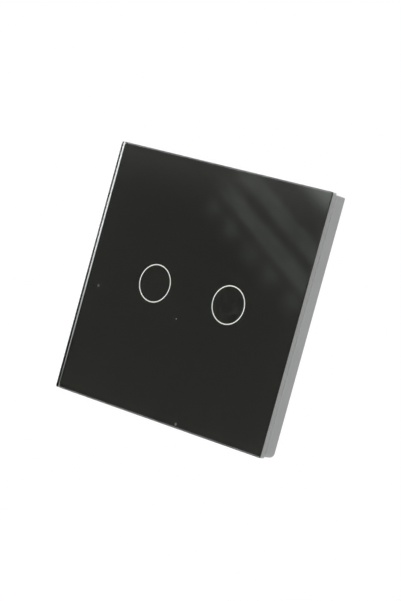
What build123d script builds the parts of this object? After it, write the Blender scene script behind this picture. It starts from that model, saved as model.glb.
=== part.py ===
from build123d import *
import os
from math import cos, pi, radians, sin, sqrt, tan

# Touch light switch for two lamps: an 80 mm glass panel on a moulded frame, a steel mounting plate and
# the module that goes into the wall box.
# Axes: X runs right, Z up and Y into the wall. The wall is the plane Y = 0. The origin is midway between
# the fixing slots. All stations below are places along Y, so what stands out of the wall is negative.
# Lengths are in millimetres.

# Clearances shared by several pieces
body_gap = 0.3          # between a fixed piece and one that moves
running_gap = 0.05      # radial play of a shaft, guide or rib
fit_gap = 0.1           # play of a pin or lead in its hole
overrun = 1.0           # how far a cut runs past its face

# Glass and print
panel_side = 80.0
glass_thickness = 2.5
visible_depth = 7.5     # from the glass face to the rear rim of the frame
wall_gap = 0.3
glass_corner = 0.4
glass_arris = 0.3
print_thickness = 0.1
print_margin = 0.3      # bare glass between the print and the edge
ring_radius = 5.8
ring_stroke = 0.32
ring_spacing = 28.34
tape_thickness = 0.3
tape_width = 6.5
tape_inset = 2.2        # from the frame's outside to the tape

# Frame behind the glass
frame_side_inset = 0.1  # from the glass's edge to the frame's, left and right
frame_end_inset = 0.3   # the same above and below
frame_drop = 0.15       # the frame sits a little low behind the glass
frame_top_radius = 0.5
frame_bottom_radius = 1.8
frame_wall = 1.6
frame_flange_thickness = 1.2
frame_flange_width = 7.2
frame_opening_corner = 4.0
grip_rib_width = 2.4
grip_rib_spacing = 40.0
locating_peg_width = 2.6
peg_from_edge = 4.8     # from the plate's edge to the middle of a peg
pry_notch_width = 12.0
pry_notch_height = 1.0

# Mounting plate
plate_gap = 0.8         # from the plate to the frame's inside, above and below
plate_sheet = 1.0
plate_bend = 0.8
plate_corner_relief = 6.0
slot_spacing = 60.0
slot_length = 7.0
slot_radius = 2.1
dish_depth = 0.8
dish_gap = 0.6          # around the module inside the dish

# Module
module_side = 48.0
module_corner = 7.0
module_wall = 1.5
seat_width = 1.7        # rim of the module that bears on the dish
wall_depth = 21.0       # how far the module reaches into the wall box
rear_wall = 1.2
cover_wall = 1.2
cover_gap = 1.1
cover_edge = 0.5
housing_edge = 1.2
screw_offset = 18.6     # of a case screw from the middle, both ways
post_width = 4.8
post_length = 9.8
screw_radius = 1.0
screw_head_radius = 1.9
screw_length = 9.0
vent_length = 9.0
vent_width = 1.6
vent_pitch = 3.6
vent_rows = 3
board_rib_width = 1.6
board_rib_spacing = 22.0

# Boards
board_gap = 0.4         # between a board's edge and the housing
board_corner = 11.0
touch_board_thickness = 1.2
power_board_thickness = 1.6
board_setback = 4.5     # from the cover's face to the touch board
board_spacing = 2.54
header_pitch = 2.54
header_pins = 8
header_from_top = 2.6
pin_width = 0.64
pin_tail = 0.8          # how far a soldered pin stands out of its board

# Light guides, springs and lamps over the touch board
guide_wall = 1.6
lug_width = 3.0
lug_reach = 0.9
lug_thickness = 1.0
spring_wire = 0.5
spring_base_radius = 2.9
spring_top_radius = 3.5
spring_turns = 3
spring_wire_sides = 6
spring_bend = 0.5        # radius of the bend between leg and coil
led_length = 3.5
led_width = 2.8
led_height = 1.9
led_lens_side = 2.0
led_lens_depth = 0.3

# Parts on the power board
touch_chip_length = 9.9
supply_chip_length = 4.9
chip_width = 3.9
chip_height = 1.5
chip_leg_reach = 1.0
chip_leg_width = 0.42
chip_leg_thickness = 0.2
chip_leg_pitch = 1.27
film_capacitor_length = 13.0
film_capacitor_width = 5.0
film_capacitor_height = 11.0
filter_capacitor_radius = 4.0
filter_capacitor_height = 11.5
output_capacitor_radius = 3.15
output_capacitor_height = 9.0
varistor_radius = 3.5
varistor_thickness = 3.4
fuse_length = 8.2
fuse_width = 4.2
fuse_height = 7.6
rectifier_length = 4.7
rectifier_width = 3.9
rectifier_height = 2.4
core_side = 10.6
core_thickness = 4.8
core_limb = 2.7
core_lift = 2.2
winding_bulge = 1.4
part_spacing = 1.0      # between neighbours on the board
part_round = 0.5
lead_width = 0.6

# Relays
relay_width = 10.1
relay_length = 17.6
relay_height = 12.3
relay_wall = 0.6
relay_standoff = 0.2
relay_base_thickness = 1.6
relay_from_edge = 1.5   # from the power board's side edge
relay_above_block = 3.6
bobbin_side = 6.6
bobbin_flange = 0.8
bobbin_tube_side = 3.2
pole_core_side = 2.2
winding_radius = 2.9
yoke_sheet = 1.0
yoke_width = 6.0
pole_side = 4.4
pole_thickness = 0.7
pole_gap = 0.5
armature_sheet = 0.8
armature_angle = 4.0    # degrees from open to closed
hinge_gap = 0.1
blade_sheet = 0.2
blade_width = 3.2
contact_side = 1.5
contact_height = 0.3
fixed_contact_sheet = 0.45
fixed_contact_width = 2.2
contact_rest_gap = 0.06
contact_from_hinge = 8.0

# Terminals
terminal_pitch = 5.08
terminal_count = 4
block_width = 20.7
block_depth = 11.4
block_floor = 0.8
clamp_width = 4.2
clamp_depth = 5.6
clamp_side_wall = 0.5
clamp_floor = 0.9
clamp_nut_wall = 1.6
wire_space = 3.4
clamp_travel = 2.0
bar_sheet = 0.9
bar_width = 2.4
bar_back_wall = 0.8
terminal_shelf = 1.0
terminal_screw_radius = 1.25
terminal_head_radius = 1.9
terminal_head_height = 1.6
terminal_slot_width = 0.7
terminal_slot_depth = 0.9
driver_hole_radius = 1.6
entry_radius = 1.5
block_edge = 0.5
entry_wall = 2.8

# Stations along Y, from the room into the wall
frame_rear = -wall_gap
glass_front = frame_rear - visible_depth
glass_back = glass_front + glass_thickness
print_back = glass_back + print_thickness
tape_back = print_back + tape_thickness
flange_back = tape_back + frame_flange_thickness
fold_front = flange_back + body_gap
dish_back = -dish_depth
dish_front = dish_back - plate_sheet
cover_front = print_back + cover_gap
cover_inside = cover_front + cover_wall
touch_board_front = cover_front + board_setback
touch_board_rear = touch_board_front + touch_board_thickness
power_board_front = touch_board_rear + board_spacing
power_board_rear = power_board_front + power_board_thickness
housing_rear = wall_depth
housing_inside = housing_rear - rear_wall

# Outlines that several pieces share
ring_offset = ring_spacing / 2
guide_outer_radius = ring_radius + guide_wall / 2
guide_inner_radius = ring_radius - guide_wall / 2
frame_middle = -frame_drop
frame_width = panel_side - 2 * frame_side_inset
frame_height = panel_side - 2 * frame_end_inset
frame_inner_width = frame_width - 2 * frame_wall
frame_inner_height = frame_height - 2 * frame_wall
frame_opening = frame_inner_height - 2 * frame_flange_width
plate_side = frame_inner_height - 2 * plate_gap
locating_peg_spacing = plate_side - 2 * peg_from_edge
module_inside = module_side - 2 * module_wall
board_side = module_inside - 2 * board_gap
board_edge = board_side / 2
mouth_side = module_side - 2 * seat_width
mouth_corner = module_corner - (2 - sqrt(2)) * seat_width
plate_half = plate_side / 2
sides = (("left", -1), ("right", 1))
screw_places = [(-screw_offset, screw_offset), (screw_offset, -screw_offset)]


def facing(station):
    """The plane at this station that faces the room, X right and Z up. Its normal is -Y."""
    return Plane.XZ.offset(-station)


def octagon(side, corner):
    """The corners of a square of this side with its corners cut off."""
    half = side / 2
    near = half - corner
    return [
        (half, -near), (half, near), (near, half), (-near, half),
        (-half, near), (-half, -near), (-near, -half), (near, -half),
    ]


os.makedirs("parts", exist_ok=True)

# Glass panel with dubbed corners and polished arrises
with BuildPart() as glass_panel:
    with BuildSketch(facing(glass_back)):
        Polygon(*octagon(panel_side, glass_corner))
    extrude(amount=glass_thickness)
    glass_faces = glass_panel.faces().filter_by(Axis.Y)
    chamfer(glass_faces.edges(), length=glass_arris)
glass_panel.part.label = "glass_panel"
export_step(glass_panel.part, "parts/glass_panel.step")

# Black print on the back of the glass: a sheet with two ring windows and the discs inside them
print_side = panel_side - 2 * print_margin
window_outer_radius = ring_radius + ring_stroke / 2
window_inner_radius = ring_radius - ring_stroke / 2
with BuildPart() as black_back_print:
    with BuildSketch(facing(print_back)):
        Rectangle(print_side, print_side)
        with Locations((-ring_offset, 0), (ring_offset, 0)):
            Circle(window_outer_radius, mode=Mode.SUBTRACT)
            Circle(window_inner_radius)
    extrude(amount=print_thickness)
black_back_print.part.label = "black_back_print"
export_step(black_back_print.part, "parts/black_back_print.step")

# White ink in the ring windows
for side_name, side in sides:
    with BuildPart() as ring_print:
        with BuildSketch(facing(print_back)):
            with Locations((side * ring_offset, 0)):
                Circle(window_outer_radius)
                Circle(window_inner_radius, mode=Mode.SUBTRACT)
        extrude(amount=print_thickness)
    ring_print.part.label = side_name + "_ring_print"
    export_step(ring_print.part, "parts/" + side_name + "_ring_print.step")

# Tape between the glass and the frame's flange
tape_outer_width = frame_width - 2 * tape_inset
tape_outer_height = frame_height - 2 * tape_inset
with BuildPart() as bonding_tape:
    with BuildSketch(facing(tape_back)):
        with Locations((0, frame_middle)):
            Rectangle(tape_outer_width, tape_outer_height)
            Rectangle(tape_outer_width - 2 * tape_width, tape_outer_height - 2 * tape_width, mode=Mode.SUBTRACT)
    extrude(amount=tape_thickness)
bonding_tape.part.label = "bonding_tape"
export_step(bonding_tape.part, "parts/bonding_tape.step")

# Frame: an outer wall that meets the print, and a flange set back for the tape. Ribs inside the wall
# grip the turned-up edges of the plate, and four pegs locate it.
grip_half = plate_half + running_gap
grip_length = fold_front - frame_rear
with BuildPart() as panel_frame:
    with BuildSketch(facing(frame_rear)):
        with Locations((0, frame_middle)):
            Rectangle(frame_width, frame_height)
        fillet(vertices().group_by(Axis.Y)[-1], radius=frame_top_radius)
        fillet(vertices().group_by(Axis.Y)[0], radius=frame_bottom_radius)
        with Locations((0, frame_middle)):
            Rectangle(frame_inner_width, frame_inner_height, mode=Mode.SUBTRACT)
    extrude(amount=frame_rear - print_back)
    with BuildSketch(facing(flange_back)):
        with Locations((0, frame_middle)):
            Rectangle(frame_width - frame_wall, frame_height - frame_wall)
        Polygon(*octagon(frame_opening, frame_opening_corner), mode=Mode.SUBTRACT)
    extrude(amount=frame_flange_thickness)
    # grip ribs at the left, right, top and bottom, each from the wall to the plate's edge
    with BuildSketch(facing(flange_back)):
        for side_name, side in sides:
            side_wall = side * frame_inner_width / 2
            side_grip = side * grip_half
            cap_wall = frame_middle + side * frame_inner_height / 2
            with Locations(((side_wall + side_grip) / 2, 0)):
                with GridLocations(0, grip_rib_spacing, 1, 2):
                    Rectangle(abs(side_wall - side_grip), grip_rib_width)
            with Locations((0, (cap_wall + side_grip) / 2)):
                with GridLocations(grip_rib_spacing, 0, 2, 1):
                    Rectangle(grip_rib_width, abs(cap_wall - side_grip))
    extrude(amount=-(frame_rear - flange_back))
    # locating pegs on the flange
    with BuildSketch(facing(frame_rear)):
        with GridLocations(locating_peg_spacing, locating_peg_spacing, 2, 2):
            Rectangle(locating_peg_width, locating_peg_width)
    extrude(amount=frame_rear - flange_back)
    # notch for a screwdriver under the lower edge
    with BuildSketch(facing(frame_rear)):
        with Locations((0, frame_middle - (frame_height - frame_wall) / 2)):
            Rectangle(pry_notch_width, frame_wall + 2 * fit_gap)
    extrude(amount=pry_notch_height, mode=Mode.SUBTRACT)
panel_frame.part.label = "panel_frame"
export_step(panel_frame.part, "parts/panel_frame.step")

# Mounting plate: sheet with turned-up edges, relieved corners and a dish that takes the module's rim
dish_side = module_side + 2 * dish_gap
dish_corner = module_corner
with BuildPart() as mounting_plate:
    with BuildSketch(facing(0)):
        Rectangle(plate_side, plate_side)
    extrude(amount=-fold_front)
    with BuildSketch(facing(-plate_sheet)):
        Rectangle(plate_side - 2 * plate_sheet, plate_side - 2 * plate_sheet)
    extrude(amount=plate_side, mode=Mode.SUBTRACT)
    bends = mounting_plate.faces().sort_by(Axis.Y)[-1].edges()
    chamfer(bends, length=plate_bend)
    with BuildSketch(facing(0)):
        with GridLocations(plate_side - plate_corner_relief, plate_side - plate_corner_relief, 2, 2):
            Rectangle(plate_corner_relief, plate_corner_relief)
    extrude(amount=-fold_front, mode=Mode.SUBTRACT)
    relieved_side = plate_side - 2 * plate_bend
    with BuildSketch(facing(0)):
        Polygon(*octagon(relieved_side, plate_corner_relief / 2))
    extrude(amount=plate_sheet)
    with BuildSketch(facing(0)):
        Polygon(*octagon(dish_side + 2 * plate_sheet, dish_corner))
    extrude(amount=-dish_front)
    with BuildSketch(facing(0)):
        Polygon(*octagon(dish_side, dish_corner))
    extrude(amount=dish_depth, mode=Mode.SUBTRACT)
    with BuildSketch(facing(0)):
        Polygon(*octagon(mouth_side, mouth_corner))
        with GridLocations(ring_spacing, 0, 2, 1):
            Circle(guide_outer_radius + fit_gap)
        with GridLocations(slot_spacing, 0, 2, 1):
            SlotOverall(slot_length, 2 * slot_radius)
        with GridLocations(0, slot_spacing, 1, 2):
            SlotOverall(slot_length, 2 * slot_radius, rotation=90)
        with GridLocations(locating_peg_spacing, locating_peg_spacing, 2, 2):
            Rectangle(locating_peg_width + 2 * fit_gap, locating_peg_width + 2 * fit_gap)
    extrude(amount=-dish_front + overrun, mode=Mode.SUBTRACT)
mounting_plate.part.label = "mounting_plate"
export_step(mounting_plate.part, "parts/mounting_plate.step")

# Cover of the module, a shallow shell with two wells for the light guides and two screw seats
with BuildPart() as front_cover:
    with BuildSketch(facing(dish_front)):
        Polygon(*octagon(module_side, module_corner))
    extrude(amount=dish_front - cover_front)
    chamfer(front_cover.faces().sort_by(Axis.Y)[0].edges(), length=cover_edge)
    with BuildSketch(facing(dish_front)):
        Polygon(*octagon(mouth_side, board_corner))
    extrude(amount=dish_front - cover_inside, mode=Mode.SUBTRACT)
    with BuildSketch(facing(dish_front)):
        with GridLocations(ring_spacing, 0, 2, 1):
            Circle(guide_outer_radius + fit_gap)
    extrude(amount=dish_front - cover_front, mode=Mode.SUBTRACT)
    with Locations(facing(cover_front)):
        with Locations(*screw_places):
            CounterSinkHole(screw_radius + fit_gap, screw_head_radius + fit_gap, depth=dish_front - cover_front)
front_cover.part.label = "front_cover"
export_step(front_cover.part, "parts/front_cover.step")

# Light guides, each a ring on the touch board, held down by two lugs behind the cover
for side_name, side in sides:
    with BuildPart() as light_guide:
        with BuildSketch(facing(touch_board_front)):
            with Locations((side * ring_offset, 0)):
                Circle(guide_outer_radius)
        extrude(amount=touch_board_front - cover_front)
        with BuildSketch(facing(cover_inside + lug_thickness)):
            with Locations((side * ring_offset, 0)):
                Rectangle(lug_width, 2 * guide_outer_radius + 2 * lug_reach)
        extrude(amount=lug_thickness)
        with BuildSketch(facing(touch_board_front)):
            with Locations((side * ring_offset, 0)):
                Circle(guide_inner_radius)
        extrude(amount=touch_board_front - cover_front, mode=Mode.SUBTRACT)
    light_guide.part.label = side_name + "_light_guide"
    export_step(light_guide.part, "parts/" + side_name + "_light_guide.step")

# Touch springs: a leg through the board, then half turns that climb and widen towards the glass.
# Every half turn is a semicircle whose ends run along Z, so each one leads straight into the next.
spring_half_turns = 2 * spring_turns
spring_top = print_back + body_gap + spring_wire / 2
spring_bottom = touch_board_front - spring_wire / 2
spring_rise = (spring_bottom - spring_top) / (spring_half_turns - 1)


def spring_point(centre, index):
    """Where half turn number index starts: right and left of the centre in turn. The last turn is flat."""
    share = min(index / (spring_half_turns - 1), 1)
    radius = spring_base_radius + (spring_top_radius - spring_base_radius) * share
    station = spring_bottom - spring_rise * min(index, spring_half_turns - 1)
    return Vector(centre + radius * (-1) ** index, station, 0)


def spring_leg_place(centre):
    """The leg stands beside the first coil, where the wire bends up from the board."""
    return (centre + spring_base_radius, -spring_bend)


for side_name, side in sides:
    centre = side * ring_offset
    leg_x, leg_z = spring_leg_place(centre)
    leg_end = touch_board_rear + pin_tail
    start = spring_point(centre, 0)
    with BuildPart() as touch_spring:
        with BuildLine() as wire_path:
            Line((leg_x, leg_end, leg_z), (leg_x, start.Y + spring_bend, leg_z))
            ThreePointArc(
                (leg_x, start.Y + spring_bend, leg_z),
                (leg_x, start.Y + spring_bend * (1 - sin(pi / 4)), leg_z + spring_bend * (1 - cos(pi / 4))),
                start,
            )
            for index in range(spring_half_turns):
                begin = spring_point(centre, index)
                end = spring_point(centre, index + 1)
                reach = (end - begin).length / 2
                middle = (begin + end) / 2 + Vector(0, 0, reach * (-1) ** index)
                ThreePointArc(begin, middle, end)
        with BuildSketch(facing(leg_end)):
            with Locations((leg_x, leg_z)):
                RegularPolygon(spring_wire / 2, spring_wire_sides)
        sweep(path=wire_path.wire())
    touch_spring.part.label = side_name + "_touch_spring"
    export_step(touch_spring.part, "parts/" + side_name + "_touch_spring.step")
spring_least_gap = 2 * spring_rise - spring_wire
print("least gap between the turns of a touch spring:", round(spring_least_gap, 2), "mm")

# Lamps inside the springs: a body with a sunk lens
for side_name, side in sides:
    with BuildPart() as indicator_led:
        with BuildSketch(facing(touch_board_front)):
            with Locations((side * ring_offset, 0)):
                Rectangle(led_width, led_length)
        extrude(amount=led_height)
        chamfer(indicator_led.edges().group_by(Axis.Y)[0], length=led_lens_depth)
        with BuildSketch(facing(touch_board_front - led_height)):
            with Locations((side * ring_offset, 0)):
                Rectangle(led_lens_side, led_lens_side)
        extrude(amount=-led_lens_depth, mode=Mode.SUBTRACT)
    indicator_led.part.label = side_name + "_indicator_led"
    export_step(indicator_led.part, "parts/" + side_name + "_indicator_led.step")

# Header that joins the boards: a spacer between them and pins soldered into both
header_middle = board_edge - header_from_top
header_width = header_pins * header_pitch
with BuildPart() as board_link_spacer:
    with BuildSketch(facing(power_board_front)):
        with Locations((0, header_middle)):
            Rectangle(header_width, header_pitch)
            with GridLocations(header_pitch, 0, header_pins, 1):
                Rectangle(pin_width, pin_width, mode=Mode.SUBTRACT)
    extrude(amount=board_spacing)
board_link_spacer.part.label = "board_link_spacer"
export_step(board_link_spacer.part, "parts/board_link_spacer.step")

link_front = touch_board_front - pin_tail
link_rear = power_board_rear + pin_tail
with BuildPart() as board_link_pins:
    with BuildSketch(facing(link_rear)):
        with Locations((0, header_middle)):
            with GridLocations(header_pitch, 0, header_pins, 1):
                Rectangle(pin_width, pin_width)
    extrude(amount=link_rear - link_front)
board_link_pins.part.label = "board_link_pins"
export_step(board_link_pins.part, "parts/board_link_pins.step")

# Layout of the power board, in X and Z
relay_x = board_edge - relay_from_edge - relay_width / 2
block_bottom = -module_side / 2
block_top = block_bottom + block_depth
block_middle = (block_bottom + block_top) / 2
relay_bottom = block_top + relay_above_block
relay_z = relay_bottom + relay_length / 2
relay_top = relay_bottom + relay_length
transformer_z = block_top + 2 * part_spacing + core_side / 2
film_z = transformer_z + core_side / 2 + part_spacing + film_capacitor_width / 2
filter_z = film_z + film_capacitor_width / 2 + part_spacing + filter_capacitor_radius
filter_x = -(filter_capacitor_radius + part_spacing)
output_x = output_capacitor_radius + part_spacing / 2
output_z = film_z + film_capacitor_width / 2 + part_spacing + output_capacitor_radius
varistor_z = output_z + output_capacitor_radius + part_spacing / 2 + varistor_thickness / 2
varistor_x = output_x + part_spacing
fuse_x = -(filter_capacitor_radius + 2 * part_spacing + filter_capacitor_radius + fuse_length / 2 + part_spacing / 2)
fuse_z = relay_top + part_spacing + fuse_width / 2
rectifier_x = -fuse_x
rectifier_z = relay_top + part_spacing + rectifier_width / 2

# Relay stations, from the board to the rear
relay_foot = power_board_rear + relay_standoff
relay_base_rear = relay_foot + relay_base_thickness
relay_rear = power_board_rear + relay_height
relay_roof = relay_rear - relay_wall
coil_axis = relay_base_rear + bobbin_side / 2
yoke_front = relay_base_rear + bobbin_side + fit_gap
yoke_rear = yoke_front + yoke_sheet
# and along Z, from the relay's middle
relay_inner_half = relay_length / 2 - relay_wall
yoke_heel = -relay_inner_half + body_gap
bobbin_low = yoke_heel + yoke_sheet
pole_face = relay_inner_half - 2 * armature_sheet - pole_gap - blade_sheet
bobbin_high = pole_face - pole_thickness
armature_face = pole_face + pole_gap
yoke_end = armature_face - hinge_gap
hinge_station = yoke_rear
fixed_arm_front = relay_roof - fit_gap - fixed_contact_sheet
contact_gap = contact_from_hinge * tan(radians(armature_angle)) + contact_rest_gap
blade_rear = fixed_arm_front - 2 * contact_height - contact_gap
contact_z = armature_face - contact_from_hinge
fixed_side = bobbin_side / 2 + body_gap
relay_pin_end = power_board_front - pin_tail
coil_pin_spacing = bobbin_side
coil_pin_z = bobbin_high - bobbin_flange / 2
fixed_pin_z = contact_z
common_pin_z = yoke_heel + yoke_sheet / 2

# Terminal stations, from the board to the rear
block_front = power_board_rear
clamp_front = block_front + block_floor + body_gap
clamp_floor_rear = clamp_front + clamp_floor
bar_front = clamp_floor_rear + wire_space
bar_rear = bar_front + bar_sheet
nut_front = bar_rear + fit_gap
nut_rear = nut_front + clamp_nut_wall
shelf_front = nut_rear + clamp_travel + body_gap
shelf_rear = shelf_front + terminal_shelf
head_front = shelf_rear + running_gap
head_rear = head_front + terminal_head_height
lip_front = head_rear + body_gap
screw_tip = bar_rear + fit_gap
wire_axis = (clamp_floor_rear + bar_front) / 2
# and along Z
chamber_bottom = block_bottom + entry_wall
tail_top = block_top - bar_back_wall
tail_bottom = tail_top - bar_sheet
clamp_z = chamber_bottom + body_gap + clamp_depth / 2
terminal_places = [terminal_pitch * (index - (terminal_count - 1) / 2) for index in range(terminal_count)]
terminal_names = ["left", "mid_left", "mid_right", "right"]

# Boards, with the holes of every soldered pin
with BuildPart() as touch_board:
    with BuildSketch(facing(touch_board_rear)):
        Polygon(*octagon(board_side, board_corner))
        with Locations((0, header_middle)):
            with GridLocations(header_pitch, 0, header_pins, 1):
                Rectangle(pin_width, pin_width, mode=Mode.SUBTRACT)
        with Locations(*[spring_leg_place(side * ring_offset) for side_name, side in sides]):
            Rectangle(spring_wire + 2 * fit_gap, spring_wire + 2 * fit_gap, mode=Mode.SUBTRACT)
    extrude(amount=touch_board_thickness)
touch_board.part.label = "touch_board"
export_step(touch_board.part, "parts/touch_board.step")

relay_places = [(side * relay_x, relay_z) for side_name, side in sides]
with BuildPart() as power_board:
    with BuildSketch(facing(power_board_rear)):
        Polygon(*octagon(board_side, board_corner))
        with Locations((0, header_middle)):
            with GridLocations(header_pitch, 0, header_pins, 1):
                Rectangle(pin_width, pin_width, mode=Mode.SUBTRACT)
        with Locations(*relay_places):
            with Locations(
                (-coil_pin_spacing / 2, coil_pin_z), (coil_pin_spacing / 2, coil_pin_z),
                (fixed_side + fixed_contact_sheet / 2, fixed_pin_z), (0, common_pin_z),
            ):
                Rectangle(pin_width + fit_gap, yoke_sheet + fit_gap, mode=Mode.SUBTRACT)
        with Locations(*[(x, tail_bottom + bar_sheet / 2) for x in terminal_places]):
            Rectangle(bar_sheet + fit_gap, bar_sheet + fit_gap, mode=Mode.SUBTRACT)
    extrude(amount=power_board_thickness)
power_board.part.label = "power_board"
export_step(power_board.part, "parts/power_board.step")

# Chips: a moulded body with a row of legs on each side


def chip_legs(length):
    """How many legs stand along one side of a chip of this length."""
    return int(length // chip_leg_pitch)


# The touch chip hangs under the touch board and the supply chip stands on the power board, with the
# header's gap between the boards left for both.
chip_places = (
    ("touch_chip", touch_chip_length, touch_board_rear, 1, -chip_width - part_spacing),
    ("supply_chip", supply_chip_length, power_board_front, -1, chip_width + part_spacing),
)
for chip_name, chip_length, seat, away, place_z in chip_places:
    body_seat = seat + away * chip_leg_thickness
    with BuildPart() as chip:
        with BuildSketch(facing(body_seat)):
            with Locations((0, place_z)):
                Rectangle(chip_length, chip_width)
        extrude(amount=-away * (chip_height - chip_leg_thickness))
        top_face = chip.faces().sort_by(Axis.Y)[-1 if away > 0 else 0]
        chamfer(top_face.edges(), length=chip_leg_thickness)
        with BuildSketch(facing(seat)):
            with Locations((0, place_z)):
                with GridLocations(chip_leg_pitch, 0, chip_legs(chip_length), 1):
                    Rectangle(chip_leg_width, chip_width + 2 * chip_leg_reach)
        extrude(amount=-away * chip_leg_thickness)
    chip.part.label = chip_name
    export_step(chip.part, "parts/" + chip_name + ".step")

# Film capacitor, fuse and bridge rectifier: moulded boxes with bevelled edges
box_parts = (
    ("film_capacitor", 0, film_z, film_capacitor_length, film_capacitor_width, film_capacitor_height),
    ("fuse", fuse_x, fuse_z, fuse_length, fuse_width, fuse_height),
    ("bridge_rectifier", rectifier_x, rectifier_z, rectifier_length, rectifier_width, rectifier_height),
)
for box_name, place_x, place_z, length, width, height in box_parts:
    with BuildPart() as box_part:
        with BuildSketch(facing(power_board_rear)):
            with Locations((place_x, place_z)):
                Rectangle(length, width)
        extrude(amount=-height)
        chamfer(box_part.edges().filter_by(Axis.Y), length=part_round)
        chamfer(box_part.faces().sort_by(Axis.Y)[-1].edges(), length=part_round)
    box_part.part.label = box_name
    export_step(box_part.part, "parts/" + box_name + ".step")

# Electrolytic capacitors: cans that stand on the board
can_places = (
    ("filter_capacitor", filter_x, filter_z, filter_capacitor_radius, filter_capacitor_height),
    ("output_capacitor", output_x, output_z, output_capacitor_radius, output_capacitor_height),
)
for can_name, place_x, place_z, radius, height in can_places:
    with BuildPart() as can:
        with BuildSketch(facing(power_board_rear)):
            with Locations((place_x, place_z)):
                Circle(radius)
        extrude(amount=-height)
    can.part.label = can_name
    export_step(can.part, "parts/" + can_name + ".step")

# Varistor: an upright disc on two leads
varistor_station = power_board_rear + varistor_radius + part_spacing
with BuildPart() as varistor:
    with BuildSketch(Plane.XY.offset(varistor_z - varistor_thickness / 2)):
        with Locations((varistor_x, varistor_station)):
            Circle(varistor_radius)
    extrude(amount=varistor_thickness)
    with BuildSketch(facing(power_board_rear)):
        with Locations((varistor_x, varistor_z)):
            with GridLocations(varistor_radius, 0, 2, 1):
                Rectangle(lead_width, lead_width)
    extrude(amount=power_board_rear - varistor_station)
varistor.part.label = "varistor"
export_step(varistor.part, "parts/varistor.step")

# Transformer: an E core with two windows and the winding round its middle limb
core_front = power_board_rear + core_lift
window_width = (core_side - 3 * core_limb) / 2
window_height = core_side - 2 * core_limb
window_step = core_limb + window_width
with BuildPart() as transformer_core:
    with BuildSketch(facing(core_front)):
        with Locations((0, transformer_z)):
            Rectangle(core_side, core_side)
            with GridLocations(window_step, 0, 2, 1):
                Rectangle(window_width, window_height, mode=Mode.SUBTRACT)
    extrude(amount=-core_thickness)
transformer_core.part.label = "transformer_core"
export_step(transformer_core.part, "parts/transformer_core.step")

winding_width = core_limb + 2 * window_width - 2 * fit_gap
winding_height = window_height - 2 * fit_gap
with BuildPart() as transformer_winding:
    with BuildSketch(Plane.XY.offset(transformer_z)):
        with Locations((0, core_front + core_thickness / 2)):
            Rectangle(winding_width, core_thickness + 2 * winding_bulge)
            Rectangle(core_limb + 2 * running_gap, core_thickness + 2 * running_gap, mode=Mode.SUBTRACT)
    extrude(amount=winding_height / 2, both=True)
    chamfer(transformer_winding.edges().filter_by(Axis.Z).group_by(SortBy.DISTANCE)[-1], length=part_round)
    with BuildSketch(facing(power_board_rear)):
        with Locations((0, transformer_z)):
            with GridLocations(winding_width - 2 * part_round, winding_height - 2 * part_round, 2, 2):
                Rectangle(lead_width, lead_width)
    extrude(amount=power_board_rear - core_front + winding_bulge)
transformer_winding.part.label = "transformer_winding"
export_step(transformer_winding.part, "parts/transformer_winding.step")

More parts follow.
